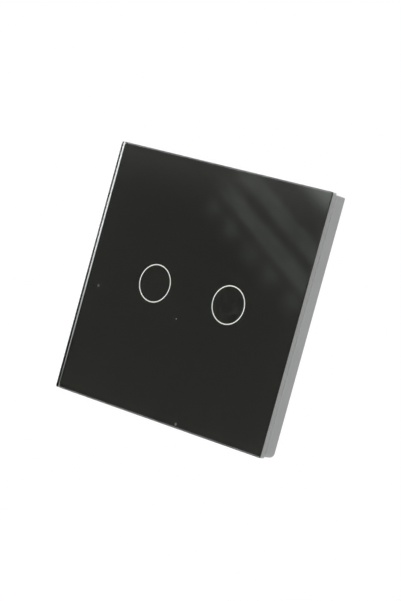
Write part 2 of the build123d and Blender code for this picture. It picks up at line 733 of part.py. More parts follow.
# Relays. The coil lies along Z, the yoke goes round its rear side, and the armature hangs on the end
# of the yoke in front of the pole. The contact blade is fixed on the armature and reaches back over
# the yoke, so it rises to the fixed contact when the armature is drawn to the pole.
for side_name, side in sides:
    place_x = side * relay_x
    blade_end = contact_z - contact_side / 2 - relay_wall

    with BuildPart() as relay_cover:
        with BuildSketch(facing(relay_foot)):
            with Locations((place_x, relay_z)):
                Rectangle(relay_width, relay_length)
        extrude(amount=relay_foot - relay_rear)
        chamfer(relay_cover.edges().filter_by(Axis.Y), length=part_round)
        chamfer(relay_cover.faces().sort_by(Axis.Y)[-1].edges(), length=part_round / 2)
        with BuildSketch(facing(relay_foot)):
            with Locations((place_x, relay_z)):
                Rectangle(relay_width - 2 * relay_wall, relay_length - 2 * relay_wall)
        extrude(amount=relay_foot - relay_roof, mode=Mode.SUBTRACT)
    relay_cover.part.label = side_name + "_relay_cover"
    export_step(relay_cover.part, "parts/" + side_name + "_relay_cover.step")

    base_width = relay_width - 2 * relay_wall - 2 * running_gap
    base_length = relay_length - 2 * relay_wall - 2 * running_gap
    with BuildPart() as relay_base:
        with BuildSketch(facing(relay_base_rear)):
            with Locations((place_x, relay_z)):
                Rectangle(base_width, base_length)
                with Locations((-coil_pin_spacing / 2, coil_pin_z), (coil_pin_spacing / 2, coil_pin_z)):
                    Rectangle(pin_width, bobbin_flange, mode=Mode.SUBTRACT)
                with Locations((fixed_side + fixed_contact_sheet / 2, fixed_pin_z)):
                    Rectangle(fixed_contact_sheet, pin_width, mode=Mode.SUBTRACT)
                with Locations((0, common_pin_z)):
                    Rectangle(pin_width, yoke_sheet, mode=Mode.SUBTRACT)
        extrude(amount=relay_base_thickness)
        with BuildSketch(facing(relay_foot)):
            with Locations((place_x, relay_z)):
                with GridLocations(base_width - 2 * pin_width, base_length - 2 * pin_width, 2, 2):
                    Rectangle(pin_width, pin_width)
        extrude(amount=relay_standoff)
    relay_base.part.label = side_name + "_relay_base"
    export_step(relay_base.part, "parts/" + side_name + "_relay_base.step")

    with BuildPart() as relay_bobbin:
        with BuildSketch(Plane.XY.offset(relay_z + bobbin_low)):
            with Locations((place_x, coil_axis)):
                Rectangle(bobbin_tube_side, bobbin_tube_side)
        extrude(amount=bobbin_high - bobbin_low)
        for flange_low in (bobbin_low, bobbin_high - bobbin_flange):
            with BuildSketch(Plane.XY.offset(relay_z + flange_low)):
                with Locations((place_x, coil_axis)):
                    Rectangle(bobbin_side, bobbin_side)
            extrude(amount=bobbin_flange)
        with BuildSketch(Plane.XY.offset(relay_z + bobbin_low)):
            with Locations((place_x, coil_axis)):
                Rectangle(pole_core_side, pole_core_side)
        extrude(amount=bobbin_high - bobbin_low, mode=Mode.SUBTRACT)
    relay_bobbin.part.label = side_name + "_relay_bobbin"
    export_step(relay_bobbin.part, "parts/" + side_name + "_relay_bobbin.step")

    with BuildPart() as relay_coil:
        with BuildSketch(Plane.XY.offset(relay_z + bobbin_low + bobbin_flange)):
            with Locations((place_x, coil_axis)):
                Circle(winding_radius)
                Rectangle(bobbin_tube_side, bobbin_tube_side, mode=Mode.SUBTRACT)
        extrude(amount=bobbin_high - bobbin_low - 2 * bobbin_flange)
        with BuildSketch(facing(relay_pin_end)):
            with Locations((place_x, relay_z)):
                with Locations((-coil_pin_spacing / 2, coil_pin_z), (coil_pin_spacing / 2, coil_pin_z)):
                    Rectangle(pin_width, bobbin_flange)
        extrude(amount=relay_pin_end - relay_base_rear)
    relay_coil.part.label = side_name + "_relay_coil"
    export_step(relay_coil.part, "parts/" + side_name + "_relay_coil.step")

    with BuildPart() as relay_yoke:
        with BuildSketch(Plane.YZ.offset(place_x)):
            with Locations((0, relay_z)):
                Polygon(
                    (relay_base_rear, yoke_heel), (yoke_rear, yoke_heel), (yoke_rear, yoke_end),
                    (yoke_front, yoke_end), (yoke_front, bobbin_low), (relay_base_rear, bobbin_low),
                    align=None,
                )
        extrude(amount=yoke_width / 2, both=True)
        heel_bend = relay_yoke.edges().filter_by(Axis.X).sort_by(Axis.Z).group_by(Axis.Z)[0].sort_by(Axis.Y)[-1]
        fillet(heel_bend, radius=yoke_sheet / 2)
        with BuildSketch(Plane.XY.offset(relay_z + bobbin_low)):
            with Locations((place_x, coil_axis)):
                Rectangle(pole_core_side - 2 * running_gap, pole_core_side - 2 * running_gap)
        extrude(amount=bobbin_high - bobbin_low)
        with BuildSketch(Plane.XY.offset(relay_z + bobbin_high)):
            with Locations((place_x, coil_axis)):
                Polygon(*octagon(pole_side, pole_side / 4))
        extrude(amount=pole_thickness)
        with BuildSketch(facing(relay_pin_end)):
            with Locations((place_x, relay_z + common_pin_z)):
                Rectangle(pin_width, yoke_sheet)
        extrude(amount=relay_pin_end - relay_base_rear)
    relay_yoke.part.label = side_name + "_relay_yoke"
    export_step(relay_yoke.part, "parts/" + side_name + "_relay_yoke.step")

    armature_tip = coil_axis - pole_side / 2 - body_gap
    armature_top = hinge_station + blade_sheet
    with BuildPart() as relay_armature:
        with BuildSketch(Plane.XY.offset(relay_z + armature_face)):
            with Locations((place_x, 0)):
                Polygon(
                    (-yoke_width / 2, armature_top), (yoke_width / 2, armature_top),
                    (yoke_width / 2, coil_axis), (pole_side / 2, armature_tip),
                    (-pole_side / 2, armature_tip), (-yoke_width / 2, coil_axis),
                    align=None,
                )
        extrude(amount=armature_sheet)
    relay_armature.part.label = side_name + "_relay_armature"
    export_step(relay_armature.part, "parts/" + side_name + "_relay_armature.step")

    blade_face = armature_face + armature_sheet
    with BuildPart() as relay_moving_contact:
        with BuildSketch(Plane.YZ.offset(place_x)):
            with Locations((0, relay_z)):
                Polygon(
                    (coil_axis, blade_face), (coil_axis, blade_face + blade_sheet),
                    (blade_rear, blade_face + blade_sheet), (blade_rear, blade_end),
                    (blade_rear - blade_sheet, blade_end), (blade_rear - blade_sheet, blade_face),
                    align=None,
                )
        extrude(amount=blade_width / 2, both=True)
        with BuildSketch(facing(blade_rear)):
            with Locations((place_x, relay_z + contact_z)):
                Rectangle(contact_side, contact_side)
        extrude(amount=-contact_height)
    relay_moving_contact.part.label = side_name + "_relay_moving_contact"
    export_step(relay_moving_contact.part, "parts/" + side_name + "_relay_moving_contact.step")

    fixed_arm_rear = fixed_arm_front + fixed_contact_sheet
    with BuildPart() as relay_fixed_contact:
        with BuildSketch(Plane.XY.offset(relay_z + contact_z)):
            with Locations((place_x, 0)):
                Polygon(
                    (fixed_side, relay_base_rear), (fixed_side + fixed_contact_sheet, relay_base_rear),
                    (fixed_side + fixed_contact_sheet, fixed_arm_rear), (-contact_side / 2, fixed_arm_rear),
                    (-contact_side / 2, fixed_arm_front), (fixed_side, fixed_arm_front),
                    align=None,
                )
        extrude(amount=fixed_contact_width / 2, both=True)
        with BuildSketch(facing(fixed_arm_front)):
            with Locations((place_x, relay_z + contact_z)):
                Rectangle(contact_side, contact_side)
        extrude(amount=contact_height)
        with BuildSketch(facing(relay_pin_end)):
            with Locations((place_x + fixed_side + fixed_contact_sheet / 2, relay_z + fixed_pin_z)):
                Rectangle(fixed_contact_sheet, pin_width)
        extrude(amount=relay_pin_end - relay_base_rear)
    relay_fixed_contact.part.label = side_name + "_relay_fixed_contact"
    export_step(relay_fixed_contact.part, "parts/" + side_name + "_relay_fixed_contact.step")

# Terminal block: a chamber for each clamp, a shelf that holds the screw's head, a driver hole in the
# rear and a wire entry below
chamber_width = clamp_width + 2 * running_gap
chamber_top = tail_top
chamber_depth = chamber_top - chamber_bottom
shelf_hole_width = 2 * (terminal_screw_radius + running_gap)
with BuildPart() as terminal_block:
    with BuildSketch(facing(block_front)):
        with Locations((0, block_middle)):
            Rectangle(block_width, block_depth)
    extrude(amount=block_front - housing_rear)
    chamfer(terminal_block.faces().sort_by(Axis.Y)[-1].edges(), length=block_edge)
    for place_x in terminal_places:
        with BuildSketch(facing(block_front + block_floor)):
            with Locations((place_x, (chamber_bottom + chamber_top) / 2)):
                Rectangle(chamber_width, chamber_depth)
        extrude(amount=block_front + block_floor - shelf_front, mode=Mode.SUBTRACT)
        with BuildSketch(facing(block_front)):
            with Locations((place_x, tail_bottom + bar_sheet / 2)):
                Rectangle(bar_sheet, bar_sheet)
        extrude(amount=-block_floor, mode=Mode.SUBTRACT)
        with BuildSketch(facing(shelf_front)):
            with Locations((place_x, clamp_z)):
                Rectangle(shelf_hole_width, shelf_hole_width)
        extrude(amount=-terminal_shelf, mode=Mode.SUBTRACT)
        with BuildSketch(facing(shelf_rear)):
            with Locations((place_x, clamp_z)):
                Rectangle(chamber_width, chamber_width)
        extrude(amount=shelf_rear - lip_front, mode=Mode.SUBTRACT)
        with BuildSketch(facing(lip_front)):
            with Locations((place_x, clamp_z)):
                Circle(driver_hole_radius)
        extrude(amount=lip_front - housing_rear, mode=Mode.SUBTRACT)
    entry_face = Plane(origin=(0, wire_axis, block_bottom), x_dir=(1, 0, 0), z_dir=(0, 0, -1))
    with Locations(entry_face):
        with GridLocations(terminal_pitch, 0, terminal_count, 1):
            Hole(entry_radius, depth=entry_wall)
terminal_block.part.label = "terminal_block"
export_step(terminal_block.part, "parts/terminal_block.step")

# Fixed bars: each reaches through its clamp, bends to the board and ends in a soldered tail
bar_tip = chamber_bottom + body_gap
with BuildPart() as terminal_bars:
    for place_x in terminal_places:
        with BuildSketch(Plane.YZ.offset(place_x)):
            Polygon(
                (bar_front, bar_tip), (bar_rear, bar_tip), (bar_rear, tail_top),
                (block_front + block_floor, tail_top), (block_front + block_floor, tail_bottom),
                (bar_front, tail_bottom),
                align=None,
            )
        extrude(amount=bar_width / 2, both=True)
        with BuildSketch(facing(power_board_front - pin_tail)):
            with Locations((place_x, tail_bottom + bar_sheet / 2)):
                Rectangle(bar_sheet, bar_sheet)
        extrude(amount=power_board_front - pin_tail - block_front - block_floor)
terminal_bars.part.label = "terminal_bars"
export_step(terminal_bars.part, "parts/terminal_bars.step")

# Terminal screws and the clamps that rise along them
for terminal_name, place_x in zip(terminal_names, terminal_places):
    with BuildPart() as terminal_screw:
        with BuildSketch(facing(head_front)):
            with Locations((place_x, clamp_z)):
                Circle(terminal_head_radius)
        extrude(amount=-terminal_head_height)
        with BuildSketch(facing(head_rear)):
            with Locations((place_x, clamp_z)):
                Rectangle(2 * terminal_head_radius + overrun, terminal_slot_width)
        extrude(amount=terminal_slot_depth, mode=Mode.SUBTRACT)
        with BuildSketch(facing(screw_tip)):
            with Locations((place_x, clamp_z)):
                Circle(terminal_screw_radius)
        extrude(amount=screw_tip - head_front)
    terminal_screw.part.label = terminal_name + "_terminal_screw"
    export_step(terminal_screw.part, "parts/" + terminal_name + "_terminal_screw.step")

    with BuildPart() as terminal_clamp:
        with BuildSketch(facing(nut_rear)):
            with Locations((place_x, clamp_z)):
                Rectangle(clamp_width, clamp_depth)
        extrude(amount=nut_rear - clamp_front)
        chamfer(terminal_clamp.edges().filter_by(Axis.Z), length=clamp_side_wall)
        with BuildSketch(facing(nut_front)):
            with Locations((place_x, clamp_z)):
                Rectangle(clamp_width - 2 * clamp_side_wall, clamp_depth)
        extrude(amount=nut_front - clamp_floor_rear, mode=Mode.SUBTRACT)
        with BuildSketch(facing(nut_front)):
            with Locations((place_x, clamp_z)):
                Circle(terminal_screw_radius + running_gap)
        extrude(amount=-clamp_nut_wall, mode=Mode.SUBTRACT)
    terminal_clamp.part.label = terminal_name + "_terminal_clamp"
    export_step(terminal_clamp.part, "parts/" + terminal_name + "_terminal_clamp.step")

# Rear housing: a tub with posts in its corners, ribs under the power board, vent slots in the rear wall
# and an opening below that takes the terminal block
with BuildPart() as rear_housing:
    with BuildSketch(facing(dish_back)):
        Polygon(*octagon(module_side, module_corner))
    extrude(amount=dish_back - housing_rear)
    chamfer(rear_housing.faces().sort_by(Axis.Y)[-1].edges(), length=housing_edge)
    with BuildSketch(facing(dish_back)):
        Polygon(*octagon(module_inside, module_corner))
        with GridLocations(ring_spacing, 0, 2, 1):
            Circle(guide_outer_radius + fit_gap)
    extrude(amount=dish_back - housing_inside, mode=Mode.SUBTRACT)
    with BuildSketch(facing(dish_back)):
        with GridLocations(2 * screw_offset, 2 * screw_offset, 2, 2):
            Rectangle(post_width, post_width, rotation=45)
    extrude(amount=-post_length)
    with BuildSketch(facing(power_board_rear)):
        for side_name, side in sides:
            with Locations((side * (module_inside / 2 - board_gap), 0)):
                with GridLocations(0, board_rib_spacing, 1, 2):
                    Rectangle(2 * board_gap, board_rib_width)
        with Locations((0, module_inside / 2 - board_gap)):
            with GridLocations(board_rib_spacing, 0, 2, 1):
                Rectangle(board_rib_width, 2 * board_gap)
    extrude(amount=power_board_rear - housing_inside)
    with BuildSketch(facing(power_board_rear)):
        with Locations((0, (block_bottom - overrun + block_top + fit_gap) / 2)):
            Rectangle(block_width + 2 * fit_gap, block_depth + overrun + fit_gap)
    extrude(amount=power_board_rear - housing_rear, mode=Mode.SUBTRACT)
    with BuildSketch(facing(dish_back)):
        with Locations(*screw_places):
            Circle(screw_radius + running_gap)
    extrude(amount=-screw_length, mode=Mode.SUBTRACT)
    with BuildSketch(facing(housing_rear)):
        with Locations((0, relay_z)):
            with GridLocations(2 * relay_x, vent_pitch, 2, vent_rows):
                Rectangle(vent_length, vent_width)
    extrude(amount=rear_wall, mode=Mode.SUBTRACT)
rear_housing.part.label = "rear_housing"
export_step(rear_housing.part, "parts/rear_housing.step")

# Case screws, countersunk in the cover and driven into two of the housing's posts
head_cone = screw_head_radius - screw_radius
with BuildPart() as case_screws:
    with BuildSketch(facing(cover_front)):
        with Locations(*screw_places):
            Circle(screw_head_radius)
    extrude(amount=-head_cone, taper=45)
    with BuildSketch(facing(cover_front + head_cone)):
        with Locations(*screw_places):
            Circle(screw_radius)
    extrude(amount=head_cone - screw_length)
    with BuildSketch(facing(cover_front)):
        with Locations(*screw_places):
            Rectangle(screw_head_radius, screw_radius / 3)
            Rectangle(screw_radius / 3, screw_head_radius)
    extrude(amount=-head_cone / 2, mode=Mode.SUBTRACT)
case_screws.part.label = "case_screws"
export_step(case_screws.part, "parts/case_screws.step")
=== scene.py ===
# Two gang touch switch: glass panel on a grey frame, with the module that sits in the wall box.
# Looks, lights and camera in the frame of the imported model, in metres.
import math

import bmesh
import bpy
from mathutils import Matrix, Vector


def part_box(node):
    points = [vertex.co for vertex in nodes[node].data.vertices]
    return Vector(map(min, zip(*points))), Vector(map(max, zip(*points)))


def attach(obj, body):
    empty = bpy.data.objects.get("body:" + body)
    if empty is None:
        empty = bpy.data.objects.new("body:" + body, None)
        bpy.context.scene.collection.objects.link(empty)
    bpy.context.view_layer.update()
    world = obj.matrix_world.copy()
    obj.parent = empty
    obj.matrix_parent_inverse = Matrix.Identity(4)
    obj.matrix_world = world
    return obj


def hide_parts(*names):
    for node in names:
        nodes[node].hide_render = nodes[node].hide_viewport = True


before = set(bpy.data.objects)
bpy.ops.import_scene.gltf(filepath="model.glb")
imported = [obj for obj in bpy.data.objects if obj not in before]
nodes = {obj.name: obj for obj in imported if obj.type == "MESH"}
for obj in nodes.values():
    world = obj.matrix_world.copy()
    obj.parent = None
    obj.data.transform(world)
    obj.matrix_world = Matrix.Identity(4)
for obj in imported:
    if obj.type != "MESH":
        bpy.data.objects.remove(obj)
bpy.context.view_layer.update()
mm = 0.001
sides = (("left", -1), ("right", 1))


def addThing(name, data):
    thing = bpy.data.objects.new(name, data)
    bpy.context.scene.collection.objects.link(thing)
    return thing


# camera: the panel from its front right, with the picture a little turned

camera = {
    "right": (0.7857, 0.5593, 0.2645),
    "up": (-0.2346, -0.1261, 0.9639),
    "back": (0.5724, -0.8193, 0.0321),
    "place": (0.3205, -0.4594, 0.0167),
    "lens": 109.9,
    "sensor": 36.0,
    "nearest": 0.01,
}


def placeCamera():
    data = bpy.data.cameras.new("camera")
    data.lens, data.sensor_width, data.clip_start = camera["lens"], camera["sensor"], camera["nearest"]
    thing = addThing("camera", data)
    axes = Matrix((camera["right"], camera["up"], camera["back"])).transposed()
    thing.matrix_world = Matrix.Translation(camera["place"]) @ axes.to_4x4()
    bpy.context.scene.camera = thing


placeCamera()
print("camera placed")

# helpers for materials

noiseSpan = (0.35, 0.65)  # nearly all of a noise lies between these
white = (1, 1, 1, 1)


def linear(hexColour):
    # sRGB hex to the linear values that the sockets take
    channels = [int(hexColour[i:i + 2], 16) / 255 for i in (1, 3, 5)]
    return tuple(c / 12.92 if c <= 0.04045 else ((c + 0.055) / 1.055) ** 2.4 for c in channels) + (1.0,)


def addNode(tree, kind, sockets=(), output=0, **settings):
    # sockets by name or number, or in their order: one of another node is linked, any other value is set
    node = tree.nodes.new("ShaderNode" + kind)
    for name, value in settings.items():
        setattr(node, name, value)
    for name, value in sockets.items() if isinstance(sockets, dict) else enumerate(sockets):
        if isinstance(value, bpy.types.NodeSocket):
            tree.links.new(value, node.inputs[name])
        else:
            node.inputs[name].default_value = value
    return node.outputs[output] if node.outputs else None


def newMaterial(name):
    material = bpy.data.materials.new(name)
    material.use_nodes = True
    material.node_tree.nodes.clear()
    return material, material.node_tree


def finishMaterial(material, kind, sockets=()):
    shader = addNode(material.node_tree, kind, sockets)
    addNode(material.node_tree, "OutputMaterial", {"Surface": shader})
    return material


def placeIn(tree, stretch=(1, 1, 1)):
    # where a point is on the piece, in millimetres
    point = addNode(tree, "TexCoord", output="Object")
    return addNode(tree, "VectorMath", (point, [s / mm for s in stretch]), operation="MULTIPLY")


def grain(tree, size, height, stretch=(1, 1, 1), detail=2.0, soften=0.0):
    # noise of this size and its bump of this height, in millimetres, over edges softened by a radius
    noise = addNode(tree, "TexNoise", {"Scale": 1 / size, "Detail": detail, "Vector": placeIn(tree, stretch)})
    if not height:
        return noise, None
    sockets = {"Distance": height * mm, "Height": noise}
    if soften:
        sockets["Normal"] = addNode(tree, "Bevel", {"Radius": soften * mm}, samples=4)
    return noise, addNode(tree, "Bump", sockets)


def mottled(tree, noise, colours, span=noiseSpan):
    # colour that drifts from the first to the second with a noise
    share = addNode(tree, "MapRange", (noise, *span))
    return addNode(tree, "Mix", {0: share, 6: linear(colours[0]), 7: linear(colours[1])}, 2, data_type="RGBA")


def finished(name, colours, roughness, size, height, sockets=None, patch=None, span=noiseSpan, **shape):
    # colour, bump and a range of roughness drift with one grain; the colour may have wider patches
    material, tree = newMaterial(name)
    noise, bump = grain(tree, size, height, **shape)
    wide = noise
    if patch:
        wide = addNode(tree, "TexNoise", {"Scale": 1 / patch[0], "Detail": patch[1], "Vector": placeIn(tree)})
    look = {"Base Color": mottled(tree, wide, colours, span), "Roughness": roughness}
    if isinstance(roughness, tuple):
        look["Roughness"] = addNode(tree, "MapRange", (noise, *noiseSpan, *roughness))
    if bump:
        look["Normal"] = bump
    return finishMaterial(material, "BsdfPrincipled", {**look, **(sockets or {})})


# helpers for pieces


def meshFrom(mesh, name):
    data = bpy.data.meshes.new(name)
    mesh.to_mesh(data)
    mesh.free()
    return data


def skin(mesh, rings, index=0, loop=False):
    # closed skin over rings of points: capped at its ends, or led back to the first ring
    rows = [[mesh.verts.new(point) for point in ring] for ring in rings]
    if loop:
        rows.append(rows[0])
    made = []
    for here, there in zip(rows, rows[1:]):
        for i in range(len(here)):
            j = (i + 1) % len(here)
            made.append(mesh.faces.new((here[i], here[j], there[j], there[i])))
    if not loop:
        made += [mesh.faces.new(rows[0]), mesh.faces.new(rows[-1])]
    for face in made:
        face.material_index = index


def turned(mesh, profile, centre, axis="Y", steps=48, index=0):
    # (radius, station) pairs in mm, turned about an axis through a centre in metres
    rings = []
    for radius, station in profile:
        ring = []
        for i in range(steps):
            a = 2 * math.pi * i / steps
            across, up = max(radius, 0.01) * math.cos(a), max(radius, 0.01) * math.sin(a)
            point = (across, station, up) if axis == "Y" else (across, up, station)
            ring.append(Vector(centre) + Vector(point) * mm)
        rings.append(ring)
    skin(mesh, rings, index)


def tube(mesh, path, radius, steps=12, index=0):
    # round wire along points in mm
    path = [Vector(p) * mm for p in path]
    rings = []
    across = (path[1] - path[0]).orthogonal().normalized()
    for i, point in enumerate(path):
        ahead = (path[min(i + 1, len(path) - 1)] - path[max(i - 1, 0)]).normalized()
        across = (across - ahead * across.dot(ahead)).normalized()
        up = ahead.cross(across)
        turns = [2 * math.pi * k / steps for k in range(steps)]
        rings.append([point + (across * math.cos(a) + up * math.sin(a)) * radius * mm for a in turns])
    skin(mesh, rings, index)


def roundedBlock(mesh, low, high, radius, index=0, steps=3):
    # block with rolled edges, corners in metres and radius in mm
    low, high = Vector(low), Vector(high)
    place = Matrix.Translation((low + high) / 2) @ Matrix.Diagonal((*(high - low), 1.0))
    made = bmesh.ops.create_cube(mesh, size=1.0, matrix=place)
    edges = list(dict.fromkeys(edge for point in made["verts"] for edge in point.link_edges))
    bevelled = bmesh.ops.bevel(mesh, geom=edges, offset=radius * mm, segments=steps, affect="EDGES", profile=0.5)
    for face in set(bevelled["faces"]) | {face for point in bevelled["verts"] for face in point.link_faces}:
        face.material_index = index


def cutOut(mesh, cutter):
    # exact cut of one closed skin from another
    for source in (mesh, cutter):
        bmesh.ops.recalc_face_normals(source, faces=source.faces)
    stock, tool = addThing("stock", meshFrom(mesh, "stock")), addThing("tool", meshFrom(cutter, "tool"))
    cut = stock.modifiers.new("cut", "BOOLEAN")
    cut.operation, cut.solver, cut.object = "DIFFERENCE", "EXACT", tool
    bpy.context.view_layer.update()
    result = bmesh.new()
    evaluated = stock.evaluated_get(bpy.context.evaluated_depsgraph_get())
    result.from_mesh(bpy.data.meshes.new_from_object(evaluated))
    for thing in (stock, tool):
        bpy.data.objects.remove(thing)
    return result


def piece(mesh, name, body, materials, replaced, crease=32):
    # smooth shaded piece that stands for a node; edges sharper than the crease, in degrees, stay sharp
    bmesh.ops.recalc_face_normals(mesh, faces=mesh.faces)
    for face in mesh.faces:
        face.smooth = True
    data = meshFrom(mesh, name)
    data.set_sharp_from_angle(angle=math.radians(crease))
    for material in materials:
        data.materials.append(material)
    thing = addThing(name, data)
    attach(thing, body)
    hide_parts(replaced)


def dress(material, *names):
    # a node keeps its solid and gets a better finish
    for name in names:
        slots = nodes[name].data.materials
        if len(slots) == 0:
            slots.append(material)
        for i in range(len(slots)):
            slots[i] = material


# glass panel: clear slab with arrises, ground edges and a bare margin behind, sizes in mm

glass = {
    "ior": 1.52,
    "clear": "#fbfffd",
    "arris": 0.3,
    "fineArris": 0.1,
    "cornerRadius": 0.42,
    "cornerSteps": 6,
    "contactGap": 0.005,
    "polishedDepth": 1.6,
    "ground": ("#dde0de", "#e2e4e2"),
    "groundRough": (0.85, 1.0),
    "gritSize": 0.12,
    # painted shade: the dark grey the left edge turns to towards the bottom, and the heights of that fade
    "paintedShade": "#3a3b3a",
    "paintedShadeHeights": (-36.0, 6.0),
    "dustSpacing": 8.5,
    "dustSize": 0.42,
}


def clearGlass():
    # float glass, fire polished: clear, with sharp reflections and a few grains of dust
    material, tree = newMaterial("floatGlassPolished")
    sockets = {"Scale": 1 / glass["dustSpacing"], "Vector": placeIn(tree, (1, 0.2, 1))}
    cells = addNode(tree, "TexVoronoi", sockets).node.outputs
    chance = addNode(tree, "SeparateColor", (cells["Color"],))
    size = addNode(tree, "MapRange", (chance, 0.5, 1.0, 0.0, glass["dustSize"] / glass["dustSpacing"]))
    dust = addNode(tree, "Math", (cells["Distance"], size), operation="LESS_THAN")
    return finishMaterial(material, "BsdfPrincipled", {
        "Base Color": linear(glass["clear"]),
        "IOR": glass["ior"],
        "Transmission Weight": addNode(tree, "MapRange", (dust, 0, 1, 1, 0.94)),
        "Roughness": addNode(tree, "MapRange", (dust, 0, 1, 0, 0.3)),
    })


def groundGlass():
    # float glass edge, ground with a 400 grit wheel: matte and grey, with faint wheel marks
    # the grit is 0.02 mm, and is drawn six times coarser to show
    sockets = {"Transmission Weight": 0.62, "IOR": glass["ior"]}
    rough, grit = glass["groundRough"], glass["gritSize"]
    return finished("floatGlassGroundEdge", glass["ground"], rough, grit, 0.004, sockets)


def beltGlass():
    # the same edge at the left, finer towards the bottom; its colour carries painted shade there: white above, dark
    # grey below
    material, tree = newMaterial("floatGlassBeltEdge")
    place = placeIn(tree)
    height = addNode(tree, "SeparateXYZ", (place,), "Z")
    litAndFrosted = addNode(tree, "MapRange", (height, *glass["paintedShadeHeights"]))
    noise = addNode(tree, "TexNoise", {"Scale": 1 / glass["gritSize"], "Vector": place})
    ground = addNode(tree, "MapRange", (noise, *noiseSpan, *glass["groundRough"]))
    return finishMaterial(material, "BsdfPrincipled", {
        # painted shade: the base colour goes from white above to dark grey below
        "Base Color": addNode(tree, "Mix", {0: litAndFrosted, 6: linear(glass["paintedShade"]), 7: white}, 2, data_type="RGBA"),
        "Roughness": addNode(tree, "Math", (litAndFrosted, ground), operation="MULTIPLY"),
        "Transmission Weight": 0.95,
        "IOR": glass["ior"],
    })


def contactGlass():
    # printed face of the glass: the ink wets it, so no second reflection is seen
    return finishMaterial(newMaterial("floatGlassUnderInk")[0], "BsdfTransparent")


def slabOutline(half, radius):
    # square with rounded corners, from the upper right one round by the left
    points = []
    for quarter, (signX, signZ) in enumerate(((1, 1), (-1, 1), (-1, -1), (1, -1))):
        for i in range(glass["cornerSteps"] + 1):
            a = (quarter + i / glass["cornerSteps"]) * math.pi / 2
            x, z = signX * (half - radius), signZ * (half - radius)
            points.append((x + radius * math.cos(a), z + radius * math.sin(a)))
    return points


def glassSlab():
    mesh = bmesh.new()
    low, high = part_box("glass_panel")
    inkLow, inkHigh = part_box("black_back_print")
    front, back, half = low.y, high.y, high.x
    arris, polished = glass["arris"] * mm, front + glass["polishedDepth"] * mm
    # inset and station of each ring, and the side where its arris is finer: -1 left, 1 right
    profile = [(arris, front, -1), (0, front + arris, 0), (0, polished, 0), (0, back - arris, 0), (arris, back, 1)]
    rings = []
    for inset, y, side in profile:
        radius = glass["cornerRadius"] * mm - inset * 0.6
        shift = side * (glass["arris"] - glass["fineArris"]) * mm
        outline = slabOutline(half - inset, radius)
        rings.append([mesh.verts.new((x + shift if x * shift > 0 else x, y, z)) for x, z in outline])
    count = len(rings[0])
    for row in range(len(rings) - 1):
        for i in range(count):
            j = (i + 1) % count
            face = mesh.faces.new((rings[row][i], rings[row][j], rings[row + 1][j], rings[row + 1][i]))
            # polished front arris, ground edge; at the left polished further back, then the belt
            atLeft = face.calc_center_median().x < 0.2 * mm - half
            face.material_index = (0, 0, 3, 3)[row] if atLeft else (0, 1, 1, 1)[row]
    mesh.faces.new(rings[0])
    # back face: a bare margin, and the printed middle a hair in front of the ink
    contact = back - glass["contactGap"] * mm
    corners = ((inkHigh.x, inkHigh.z), (inkLow.x, inkHigh.z), (inkLow.x, inkLow.z), (inkHigh.x, inkLow.z))
    inner = [mesh.verts.new((x, contact, z)) for x, z in corners]
    step = glass["cornerSteps"] + 1
    for quarter in range(4):
        corner = rings[-1][quarter * step:(quarter + 1) * step]
        following = rings[-1][((quarter + 1) % 4) * step]
        mesh.faces.new([inner[quarter]] + corner)
        mesh.faces.new((inner[quarter], corner[-1], following, inner[(quarter + 1) % 4]))
    mesh.faces.new(inner).material_index = 2
    materials = [clearGlass(), groundGlass(), contactGlass(), beltGlass()]
    piece(mesh, "glass_slab", "panel", materials, "glass_panel", crease=20)


glassSlab()
print("glass slab made")

# prints and tape: these keep their solids

prints = {
    "black": ("#42413e", "#444340"),
    "ring": ("#fffefa", "#faf8f2"),
    # painted light: the ring print glows by its own emission, though it is no lamp
    "glow": 0.52,
    "glowColour": "#fffdf8",
    "roughness": 0.8,
}
foam = {"colours": ("#17181a", "#202124"), "cell": 0.2, "cellDepth": 0.05}

# ceramic ink, screen printed and fired: deep black with the faint mottle of the mesh
noGloss = {"Specular IOR Level": 0.0}
blackInk = finished("ceramicInkBlackFired", prints["black"], prints["roughness"], 0.35, 0.0, noGloss)
# epoxy ink, screen printed: warm white, a little thin in places; its glow is painted light, as no lamp in the scene
# lights it from behind
glow = {"Emission Color": linear(prints["glowColour"]), "Emission Strength": prints["glow"]}
ringInk = finished("epoxyInkWarmWhite", prints["ring"], prints["roughness"], 0.25, 0.0, {**noGloss, **glow})
# acrylic foam tape, slit: soft black with open cells of about 0.1 mm, drawn twice as coarse
foamTape = finished(
    "acrylicFoamTapeSlit", foam["colours"], 0.85, foam["cell"], foam["cellDepth"], {"IOR": 1.47}, detail=4.0)
dress(blackInk, "black_back_print")
dress(ringInk, "left_ring_print", "right_ring_print")
dress(foamTape, "bonding_tape")
print("prints and tape dressed")

# moulded pieces of the panel and the module

moulded = {
    "frame": ("#8f9090", "#939494"),
    "cover": ("#222426", "#292b2d"),
    "housing": ("#e4e3de", "#dddcd6"),
    "block": ("#1f6b45", "#257a50"),
    "patch": (14, 3.0),
}


def satinPlastic(name, colours, roughness, grainSize=0.15, grainHeight=0.006, soften=0.12, ior=1.58):
    # moulded against a spark eroded tool: an even satin over slightly rounded edges
    spread = (roughness - 0.05, roughness + 0.07)
    return finished(name, colours, spread, grainSize, grainHeight, {"IOR": ior}, moulded["patch"], soften=soften)


dress(satinPlastic("polycarbonateGreyMoulded", moulded["frame"], 0.45), "panel_frame")
dress(satinPlastic("polycarbonateBlackMoulded", moulded["cover"], 0.42), "front_cover")
dress(satinPlastic("polycarbonateWhiteMoulded", moulded["housing"], 0.38), "rear_housing")
dress(satinPlastic("polyamideGreenMoulded", moulded["block"], 0.4, grainSize=0.1, ior=1.53), "terminal_block")
print("frame, cover, housing and terminal block dressed")

# mounting plate

plate = {"zinc": ("#bcbebd", "#c4c6c6"), "lineSpacing": 0.18, "cloud": 5}


